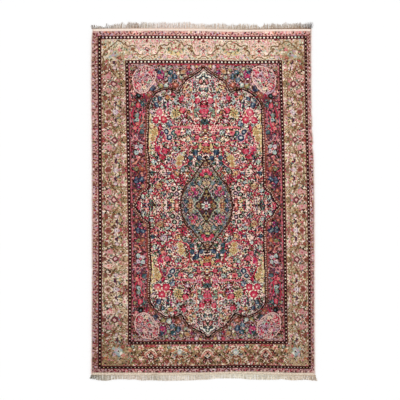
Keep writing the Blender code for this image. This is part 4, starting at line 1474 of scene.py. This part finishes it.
woolLook = {
    "knotShade": 0.16,  # how much one knot's yarn differs from the next in lightness
    "abrash": 0.10,  # how much the dye wanders from row to row
    "wear": 0.06,
    # metres along and across the rug, each with what the yarn colours are multiplied by
    # along it, painted sheen and shade: lighter towards the ragged fringe and darker towards the dense one,
    # as light falls on the leaning pile
    "paintedSheenAndDarkening": ((-1.08, 0.77), (-0.92, 0.84), (-0.80, 0.78), (-0.62, 0.92), (-0.2, 1.02), (0.35, 1.08),
             (0.74, 1.03), (0.92, 1.02), (1.07, 1.24)),
    # across it, darker near the left side
    "darkeningAcross": ((-0.70, 0.90), (-0.50, 0.90), (-0.45, 1.0), (0.45, 1.0), (0.52, 0.98), (0.70, 1.0)),
    "curveLimit": 1.5,
    "sheen": 0.03,
    "knotTurn": 6.2832,  # radians a knot, for the ridges between knots
    "ridges": 0.12,  # their height against the wool's fuzz
    "bumps": (0.4, 0.55),  # strength on the face and on the back
    "backTint": (0.14, (214, 200, 176)),  # the foundation's cotton between the knots, seen from behind
}


def woolMaterial(name, seenFromBack=False):
    # Each face carries the yarns of its 4 x 4 knots, a number for each row: the sum of yarn * 32^column.
    # A knot's colour is its yarn's, times its own shade, the dye, the wear, a painted sheen and shade along
    # the rug and a darkening across it.
    material, tree, shader = startMaterial(name)
    onChart = addNode(tree, "UVMap", uv_map="knots").outputs[0]
    chartPlace = addNode(tree, "SeparateXYZ", {0: onChart}).outputs
    column, row = (math(tree, "FLOOR", chartPlace[axis]) for axis in (0, 1))
    columnInFace, rowInFace = (math(tree, "FLOORED_MODULO", place, float(knots)) for place in (column, row))
    packed = 0.0
    for place in range(knots):
        attribute = addNode(tree, "Attribute", attribute_name=f"knotRow{place}").outputs["Fac"]
        here = addNode(tree, "Math", {0: rowInFace, 1: float(place), 2: 0.25}, operation="COMPARE").outputs[0]
        packed = math(tree, "ADD", packed, multiply(tree, attribute, here))
    count = float(len(yarns))
    shifted = math(tree, "DIVIDE", packed, math(tree, "POWER", count, columnInFace))
    yarn = math(tree, "FLOORED_MODULO", math(tree, "FLOOR", shifted), count)
    stops = [(number / count, linear(colour)) for number, colour in enumerate(yarns.values())]
    colour = ramp(tree, math(tree, "DIVIDE", math(tree, "ADD", yarn, 0.5), count), stops, "CONSTANT")
    vector, (x, y, _) = objectPlace(tree)
    knot = addNode(tree, "CombineXYZ", {0: column, 1: row}).outputs[0]
    random = addNode(tree, "TexWhiteNoise", {"Vector": knot}, noise_dimensions="2D").outputs["Value"]
    shade = around(tree, random, 0.0, 1.0, woolLook["knotShade"])
    dye = around(tree, noise(tree, vector, 1.0, 3.0, (1.2, 17.0, 1.0)), 0.3, 0.7, woolLook["abrash"])
    wear = around(tree, noise(tree, vector, 7.0, 4.0), 0.3, 0.7, woolLook["wear"])
    # the painted sheen and shade along the rug, and the darkening across it
    sheenAndDarkeningCurves = [curve(tree, place, woolLook[paintedSheenAndDarkening], woolLook["curveLimit"])
             for place, paintedSheenAndDarkening in ((y, "paintedSheenAndDarkening"), (x, "darkeningAcross"))]
    colour = toned(tree, colour, multiply(tree, shade, dye, wear, *sheenAndDarkeningCurves))
    if seenFromBack:
        share, cotton = woolLook["backTint"]
        colour = blendColour(tree, share, colour, linear(cotton))
    tree.links.new(colour, shader.inputs["Base Color"])
    waves = [math(tree, "SINE", multiply(tree, chartPlace[axis], woolLook["knotTurn"])) for axis in (1, 0)]
    ridges = multiply(tree, math(tree, "ADD", *waves), woolLook["ridges"])
    fuzz = noise(tree, vector, 900.0, 3.0)
    bump(tree, shader, math(tree, "ADD", ridges, fuzz), woolLook["bumps"][seenFromBack], 0.0006)
    if not seenFromBack:
        shader.inputs["Sheen Weight"].default_value = woolLook["sheen"]
        shader.inputs["Sheen Roughness"].default_value = 0.6
    return material


def tubes(paths, radii, sides, squash=1.0):
    # Closed tubes: each ring is its path's place + radius * (cos a * normal in plan, squash * sin a upwards).
    count, steps = radii.shape
    along = np.gradient(paths[:, :, :2], axis=1)
    along /= np.maximum(np.linalg.norm(along, axis=2, keepdims=True), 1e-9)
    normal = np.stack([-along[..., 1], along[..., 0]], axis=-1)
    angle = np.arange(sides) * 2.0 * np.pi / sides
    rings = np.empty((count, steps, sides, 3))
    aside = radii[:, :, None] * np.cos(angle)
    rings[..., :2] = paths[:, :, None, :2] + aside[..., None] * normal[:, :, None, :]
    rings[..., 2] = paths[:, :, None, 2] + squash * radii[:, :, None] * np.sin(angle)
    number = np.arange(count * steps * sides).reshape(count, steps, sides)
    here, onward = number[:, :-1], number[:, 1:]
    walls = np.stack([onward, np.roll(onward, -1, axis=2), np.roll(here, -1, axis=2), here], axis=-1)
    faces = walls.reshape(-1, 4).tolist() + number[:, 0].tolist() + number[:, -1, ::-1].tolist()
    tube = np.arange(count)
    owner = np.concatenate([np.repeat(tube, (steps - 1) * sides), tube, tube])
    return rings.reshape(-1, 3), faces, owner


sideCord = {
    "radius": 0.0037,
    "wrapPitch": 0.0034,  # one turn of the overcasting wool
    "wrapDepth": 0.00055,
    "ringsPerWrap": 3,
    "sides": 10,
    "touch": 0.0002,  # how far it keeps inside the CAD cord
    "endShare": 0.72,  # of its radius, where it is tied off
    "seed": 7,
    "pale": "0 206 188 176, 0.45 226 208 196, 0.7 214 174 168, 1 190 156 146",
}


def makeSideCord(name, node, inward, look):
    # A round bundle overcast with wool: its radius rises and falls once a turn of the wool.
    low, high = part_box(node)
    rings = int((high.y - low.y) / sideCord["wrapPitch"] * sideCord["ringsPerWrap"])
    y = np.linspace(low.y + 0.0005, high.y - 0.0005, rings)
    wrap = np.abs(np.sin(np.arange(rings) * np.pi / sideCord["ringsPerWrap"]))
    dice = np.random.default_rng(sideCord["seed"])
    fat = np.interp(y, np.linspace(low.y, high.y, 90), dice.uniform(0.94, 1.0, 90))
    radius = sideCord["radius"] * fat - sideCord["wrapDepth"] * (1.0 - wrap)
    radius[[0, -1]] *= sideCord["endShare"]
    x = np.interp(y, *outerLine(node, 0, -inward, 0.03)) + inward * (sideCord["radius"] + sideCord["touch"])
    path = np.stack([x, y, np.full(rings, sideCord["radius"] + 0.0001)], axis=1)[None]
    spots, faces, _ = tubes(path, radius[None], sideCord["sides"])
    piece = addPiece(name, spots, faces, look)
    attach(piece, "root")
    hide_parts(node)
    return piece


kilimEnd = {
    "columns": 420,
    "rows": 22,
    "ribs": 9,  # weft ridges across the band
    "ribHeight": 0.00022,
    "thickness": 0.0028,
    "inset": 0.0001,
    "threads": (3700.0, 4200.0),  # radians a metre, across and along
    "top": "0 238 214 200, 0.5 252 238 222, 1 236 198 188",
    "bottom": "0 158 138 118, 0.45 222 206 184, 0.7 236 222 202, 1 206 156 146",
}


def makeKilimEnd(name, node, outward, look):
    # The flat-woven band as a closed strip whose top rises in weft ridges, like |sin| across it.
    low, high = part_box(node)
    rows, columns = kilimEnd["rows"], kilimEnd["columns"]
    x, share = np.meshgrid(np.linspace(low.x, high.x, columns), np.linspace(0.0, 1.0, rows))
    near, far = (np.interp(x, *outerLine(node, 1, side * outward, 0.012)) - side * outward * kilimEnd["inset"]
                 for side in (-1, 1))
    wobble = 0.3 * np.sin(x * 47.0) + 0.2 * np.sin(x * 131.0)
    ribs = np.abs(np.sin(np.pi * kilimEnd["ribs"] * share + wobble))
    edge = np.minimum(1.0, np.minimum(share, 1.0 - share) * 9.0)
    top = kilimEnd["thickness"] * (0.55 + 0.45 * edge) - kilimEnd["ribHeight"] * (1.0 - ribs)
    upper = np.stack([x, near + (far - near) * share, top], axis=-1).reshape(-1, 3)
    quads, rim = gridFaces(rows, columns)
    if outward < 0:
        quads, rim = quads[:, ::-1], rim[::-1]
    lower = upper[rim] * [1.0, 1.0, 0.0] + [0.0, 0.0, 0.00005]
    below = np.arange(len(rim)) + rows * columns
    walls = np.stack([below, np.roll(below, -1), np.roll(rim, -1), rim], axis=1)
    faces = quads.tolist() + walls.tolist() + [below[::-1].tolist()]
    piece = addPiece(name, np.vstack([upper, lower]), faces, look)
    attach(piece, "root")
    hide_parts(node)
    return piece


warpYarn = {
    "steps": 13,  # rings along a warp
    "sides": 5,
    "rootRadius": 0.00105,
    "rowHalfWidth": 0.0021,  # of the knotted row
    "rowHalfHeight": 0.0012,
    "rowSides": 8,
    "knotPitch": 0.0052,
    "ringsPerKnot": 5,
    "bunchPitch": 0.0098,  # warps draw together in bunches
    "rowGap": 0.0003,  # between the row and the flat-woven band
    "lift": 0.00005,  # over the floor
}
# Tips: in the photo's pixels. Lean: metres across, and how far a warp leans there. Strays: metres
# across, how long they are and how far they lean.
fringeEnds = {
    "top": {
        "count": 800,
        "seed": 11,
        "tipRadius": 0.00036,
        "spread": (0.66, 1.0),  # shortest and longest warps against the line of the tips
        "sway": 1.0,
        "curl": 0.0019,
        "strayCurl": 0.0034,
        "tips": """
    90 25, 93 24, 96 24, 98 25.4, 101 25.6, 104 27.4, 105 25, 106 22, 107.6 24, 109 25, 112 24.2,
    116 23.2, 119 22.4, 122.6 20.8, 124 23.6, 126 23.8, 128 21, 133 22, 136 21.4, 139 23, 142 21,
    148 22, 152 21.4, 156 22.6, 160 21.2, 165 21, 172 22.2, 180 21.6, 188 21, 192 22.4, 197 23.4,
    202 22.4, 210 24, 215 22.8, 221 22.2, 226 22.8, 229 25, 233 22.4, 236 24.4, 239 23, 247 23,
    250 24.6, 254 23.2, 257 24, 259 26.2, 261 26.4, 263 24, 265 22.2, 268 23.4, 273 22.4, 281 24,
    285 21.4, 290 23.2, 299 21.6, 302 23.4, 306 22, 312 21.4""",
        "lean": "-0.7 -0.01, -0.66 0.004, -0.5 0.004, -0.2 -0.002, 0.2 0.002, 0.6 0.003, 0.7 0.006",
        "strays": """
    -0.606 0.034 0.001, -0.47 0.041 0.006, -0.462 0.04 -0.004, -0.448 0.033 0.01, -0.425 0.038 0.008,
    -0.405 0.034 -0.008, -0.39 0.04 0.006, 0.25 0.026 0.01, 0.262 0.022 -0.01, 0.674 0.036 0.01,
    0.668 0.034 0.016, 0.68 0.03 0.014""",
    },
    "bottom": {
        "count": 1080,
        "seed": 29,
        "tipRadius": 0.0009,
        "spread": (0.90, 1.0),
        "sway": 0.3,
        "curl": 0.0009,
        "strayCurl": 0.0012,
        "tips": """
    90 378, 94 378.6, 98 380, 106 380.6, 115 379.2, 125 378.9, 128 379.6, 134 379, 142 380.4, 150 380,
    165 380.7, 190 380.2, 210 379.2, 215 378.2, 240 378.1, 248 379.3, 262 379.5, 275 379.6, 281 378.8,
    292 380.2, 305 379.4, 312 380.4, 317 380.8""",
        "lean": "-0.7 -0.006, -0.62 0, 0.3 0, 0.62 0.003, 0.7 0.011",
        "strays": "-0.3 0.03 0.003, -0.286 0.03 -0.003, -0.694 0.022 -0.01, -0.684 0.026 -0.008",
    },
}


def makeFringe(name, node, outward, which, look):
    # A knotted row, loose warps curling out of it. A warp wanders as lean * t^1.5 + a * sin(f t + p) * t.
    end = fringeEnds[which]
    dice = np.random.default_rng(end["seed"])
    low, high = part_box(node)
    stops, inner = outerLine("kilim_end_" + which, 1, outward, 0.012)
    inner = inner + outward * warpYarn["rowGap"]
    strays, tips, leans = places(end["strays"], 3), places(end["tips"]), places(end["lean"])
    count, rootRadius, halfRow = end["count"], warpYarn["rootRadius"], warpYarn["rowHalfWidth"]
    root = np.linspace(low.x + 0.006, high.x - 0.006, count) + dice.uniform(-0.0022, 0.0022, count)
    bunch = np.round(root / warpYarn["bunchPitch"]) * warpYarn["bunchPitch"]
    root = np.clip(root + (bunch - root) * 0.3, low.x + 0.004, high.x - 0.004)
    root = np.concatenate([root, strays[:, 0]])
    every = (len(root), 1)
    row = np.interp(root, stops, inner)
    length = outward * (np.interp(root, rugX(tips[:, 0]), rugY(tips[:, 1])) - row) - halfRow
    length = np.maximum(length, 0.004) * dice.uniform(*end["spread"], len(root))
    length[count:] = strays[:, 1]
    lean = np.interp(root, leans[:, 0], leans[:, 1]) + dice.uniform(-0.002, 0.002, len(root))
    lean += np.interp(root, np.linspace(-0.71, 0.71, 120), dice.uniform(-0.004, 0.004, 120)) * end["sway"]
    lean[count:] = strays[:, 2]
    t = np.linspace(0.0, 1.0, warpYarn["steps"])[None, :]
    reach = dice.uniform(0.0003, end["curl"], every)
    reach[count:] = end["strayCurl"]
    curl = reach * np.sin(dice.uniform(3.0, 9.0, every) * t + dice.uniform(0.0, 6.3, every))
    x = np.clip(root[:, None] + lean[:, None] * t**1.5 + curl * t, low.x - 0.006, high.x + 0.008)
    y = row[:, None] + outward * (halfRow * 1.2 + 0.001 + length[:, None] * t)
    radius = rootRadius + (end["tipRadius"] - rootRadius) * t**1.3
    radius = radius * dice.uniform(0.75, 1.1, every)
    radius = radius * (1.0 + 0.1 * np.sin(26.0 * t + dice.uniform(0, 6, every)))
    lift = np.interp(t, (0.0, 0.3, 1.0), (0.0007, 0.0003, 0.0001)) * dice.uniform(0.0, 1.6, every)
    lift[count:] += 0.0012
    path = np.stack([x, y, radius + lift + warpYarn["lift"]], axis=-1)
    spots, faces, owner = tubes(path, radius, warpYarn["sides"])
    shade = dice.uniform(0.3, 1.0, len(root))
    shade[count:] = 0.1
    ringsPerKnot = warpYarn["ringsPerKnot"]
    rings = int((high.x - low.x) / warpYarn["knotPitch"] * ringsPerKnot)
    rowX = np.linspace(low.x + 0.003, high.x - 0.003, rings)
    swell = 0.72 + 0.28 * np.abs(np.sin(np.arange(rings) * np.pi / ringsPerKnot))
    rowY = np.interp(rowX, stops, inner) + outward * (halfRow + 0.0002)
    rowZ = np.full(rings, warpYarn["rowHalfHeight"] + warpYarn["lift"])
    rowPath = np.stack([rowX, rowY, rowZ], axis=1)[None]
    squash = warpYarn["rowHalfHeight"] / halfRow
    rowSpots, rowFaces, rowOwner = tubes(rowPath, (halfRow * swell)[None], warpYarn["rowSides"], squash)
    faces += [[corner + len(spots) for corner in face] for face in rowFaces]
    piece = addPiece(name, np.vstack([spots, rowSpots]), faces, look)
    faceValues(piece.data, "tone", np.concatenate([shade[owner], np.full(len(rowOwner), -1.0)]))
    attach(piece, "root")
    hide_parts(node)
    return piece


def edgeMaterial(name, stops, coarse, fine, share, spread):
    # Wool in patches: two noises, coarse and fine, blended by a share and spread over the colours.
    material, tree, shader = startMaterial(name, 0.92)
    vector, place = objectPlace(tree)
    patches, specks = noise(tree, vector, 1.0, 3.0, coarse), noise(tree, vector, 1.0, 2.0, fine)
    blend = math(tree, "ADD", multiply(tree, patches, share), multiply(tree, specks, 1.0 - share))
    colour = ramp(tree, remap(tree, blend, 0.5 - spread, 0.5 + spread, 0.0, 1.0), colourStops(stops))
    tree.links.new(colour, shader.inputs["Base Color"])
    return material, tree, shader, vector, place


def cordMaterial():
    coarse, fine = (1.0, 55.0, 1.0), (1.0, 420.0, 1.0)
    material, tree, shader, vector, _ = edgeMaterial("overcastWool", sideCord["pale"], coarse, fine, 0.7, 0.2)
    bump(tree, shader, noise(tree, vector, 1500.0, 2.0), 0.3, 0.0003)
    return material


def kilimMaterial(name, stops):
    coarse, fine = (26.0, 260.0, 1.0), (120.0, 150.0, 1.0)
    material, tree, shader, _, place = edgeMaterial(name, stops, coarse, fine, 0.45, 0.14)
    weave = [math(tree, "SINE", multiply(tree, place[axis], kilimEnd["threads"][axis])) for axis in (0, 1)]
    bump(tree, shader, multiply(tree, *weave), 0.35, 0.0003)
    return material


fringeHalf = 0.72  # metres from the middle to where the colours below end
fringeColours = {  # along the rug's width: metres across, then the wool's colour there; the ragged end's knotted row also carries a painted shadow line
    "top": """
    -0.71 71 61 51, -0.69 128 110 94, -0.64 160 142 124, -0.6 143 131 119, -0.55 187 169 150,
    -0.49 191 171 154, -0.46 181 155 131, -0.4 178 151 129, -0.36 206 190 170, -0.25 218 195 182,
    -0.05 220 199 181, 0.1 212 191 172, 0.22 193 171 147, 0.3 206 184 161, 0.42 183 160 136,
    0.58 178 153 127, 0.645 124 101 80, 0.69 71 55 44""",
    # from 0.29 m across to the right corner the row's brown is painted shadow, where the warps leave the flat
    # weave
    "topRow": """
    -0.71 150 132 118, -0.62 206 184 168, -0.3 232 204 188, 0.2 228 206 186, 0.29 168 132 108,
    0.62 150 116 92, 0.7 110 84 68""",
    "bottom": """
    -0.71 108 102 86, -0.66 148 138 118, -0.6 182 170 150, -0.52 202 188 170, -0.44 218 200 184,
    -0.3 196 184 166, -0.2 224 212 196, 0 220 206 188, 0.25 224 214 194, 0.45 218 206 184,
    0.6 214 194 170, 0.7 180 160 138""",
    "bottomRow": "-0.71 128 118 98, -0.6 188 168 150, -0.2 214 198 176, 0.3 214 204 180, 0.7 202 176 150",
}


def fringeMaterial(name, which):
    # Colours that change across the rug, a tone a warp, greyed in patches. The knotted row has its own, with
    # a painted shadow line along part of it at the ragged end.
    material, tree, shader = startMaterial(name, 0.9)
    vector, (x, _, _) = objectPlace(tree)
    tone = addNode(tree, "Attribute", attribute_name="tone").outputs["Fac"]
    shaken = math(tree, "ADD", x, multiply(tree, noise(tree, vector, 60.0, 2.0), 0.012))
    across = remap(tree, shaken, -fringeHalf, fringeHalf, 0.0, 1.0)
    yarn, row = (ramp(tree, across, [((place + fringeHalf) / (2 * fringeHalf), colour)
                                     for place, colour in colourStops(fringeColours[part])])
                 for part in (which, which + "Row"))
    patches = remap(tree, noise(tree, vector, 90.0, 3.0), 0.3, 0.7, 0.72, 1.22)
    own = remap(tree, tone, 0.0, 1.0, 0.62, 1.22)
    isRow = math(tree, "LESS_THAN", tone, -0.5)
    colour = blendColour(tree, isRow, toned(tree, yarn, multiply(tree, patches, own)), row)
    tree.links.new(colour, shader.inputs["Base Color"])
    bump(tree, shader, noise(tree, vector, 1400.0, 2.0), 0.25, 0.0002)
    return material


stageLook = {
    "floor": (0.93, 0.93, 0.93, 1.0),
    "floorHalf": 4.0,  # metres
    "floorDrop": 0.0004,
    "world": 1.08,
    "cameraHeight": 14.0,
    "pictureWidth": 2.5,  # metres of floor that the picture shows
    "pictureMiddle": (199.95, 199.75),
}


def makeStage():
    # A plain pale floor, soft light from all round and above, and a camera straight over the rug.
    scene = bpy.context.scene
    scene.view_settings.view_transform = "Standard"
    material, _, shader = startMaterial("floorPaint", 0.9)
    shader.inputs["Base Color"].default_value = stageLook["floor"]
    half = stageLook["floorHalf"]
    corners = [(-half, -half, 0), (half, -half, 0), (half, half, 0), (-half, half, 0)]
    floor = addPiece("floor", corners, [(0, 1, 2, 3)], material, False)
    floor.location.z = -stageLook["floorDrop"]
    world = bpy.data.worlds.new("studio")
    world.use_nodes = True
    colour, strength = world.node_tree.nodes["Background"].inputs[:2]
    colour.default_value, strength.default_value = (1.0, 1.0, 1.0, 1.0), stageLook["world"]
    scene.world = world
    camera = bpy.data.objects.new("camera", bpy.data.cameras.new("camera"))
    scene.collection.objects.link(camera)
    column, row = stageLook["pictureMiddle"]
    camera.location = (float(rugX(column)), float(rugY(row)), stageLook["cameraHeight"])
    camera.data.sensor_width = 36.0
    distance = stageLook["cameraHeight"] - pileBody["faceHigh"]
    camera.data.lens = camera.data.sensor_width * distance / stageLook["pictureWidth"]
    camera.data.clip_end = 100.0
    scene.camera = camera


chart = weaveChart()
print("chart woven:", chart.shape[1], "x", chart.shape[0], "knots")
pileFace = wovenSlab("pileFace", chart, pileBody["faceHigh"], pileBody["faceLow"], pileBody["round"],
                     pileBody["ripple"], woolMaterial("woolPile"))
pileBack = wovenSlab("pileBack", chart, pileBody["backLow"], pileBody["backHigh"], pileBody["backRound"], 0.0,
                     woolMaterial("knotBacks", True))
for piece in (pileFace, pileBack):
    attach(piece, "root")
    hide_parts("knotted_pile")
print("pile:", len(pileFace.data.polygons), "faces a side")

cordLook = cordMaterial()
edges = [makeSideCord("sideCordLeft", "side_cord_left", 1, cordLook),
         makeSideCord("sideCordRight", "side_cord_right", -1, cordLook)]
topLook = kilimMaterial("flatWeaveTop", kilimEnd["top"])
bottomLook = kilimMaterial("flatWeaveBottom", kilimEnd["bottom"])
edges += [makeKilimEnd("kilimTop", "kilim_end_top", 1, topLook),
          makeKilimEnd("kilimBottom", "kilim_end_bottom", -1, bottomLook)]
print("sides overcast and ends woven")
edges += [makeFringe("fringeTop", "fringe_top", 1, "top", fringeMaterial("fringeGrey", "top")),
          makeFringe("fringeBottom", "fringe_bottom", -1, "bottom", fringeMaterial("fringeCream", "bottom"))]
print("fringes:", fringeEnds["top"]["count"], "and", fringeEnds["bottom"]["count"], "warps")

makeStage()
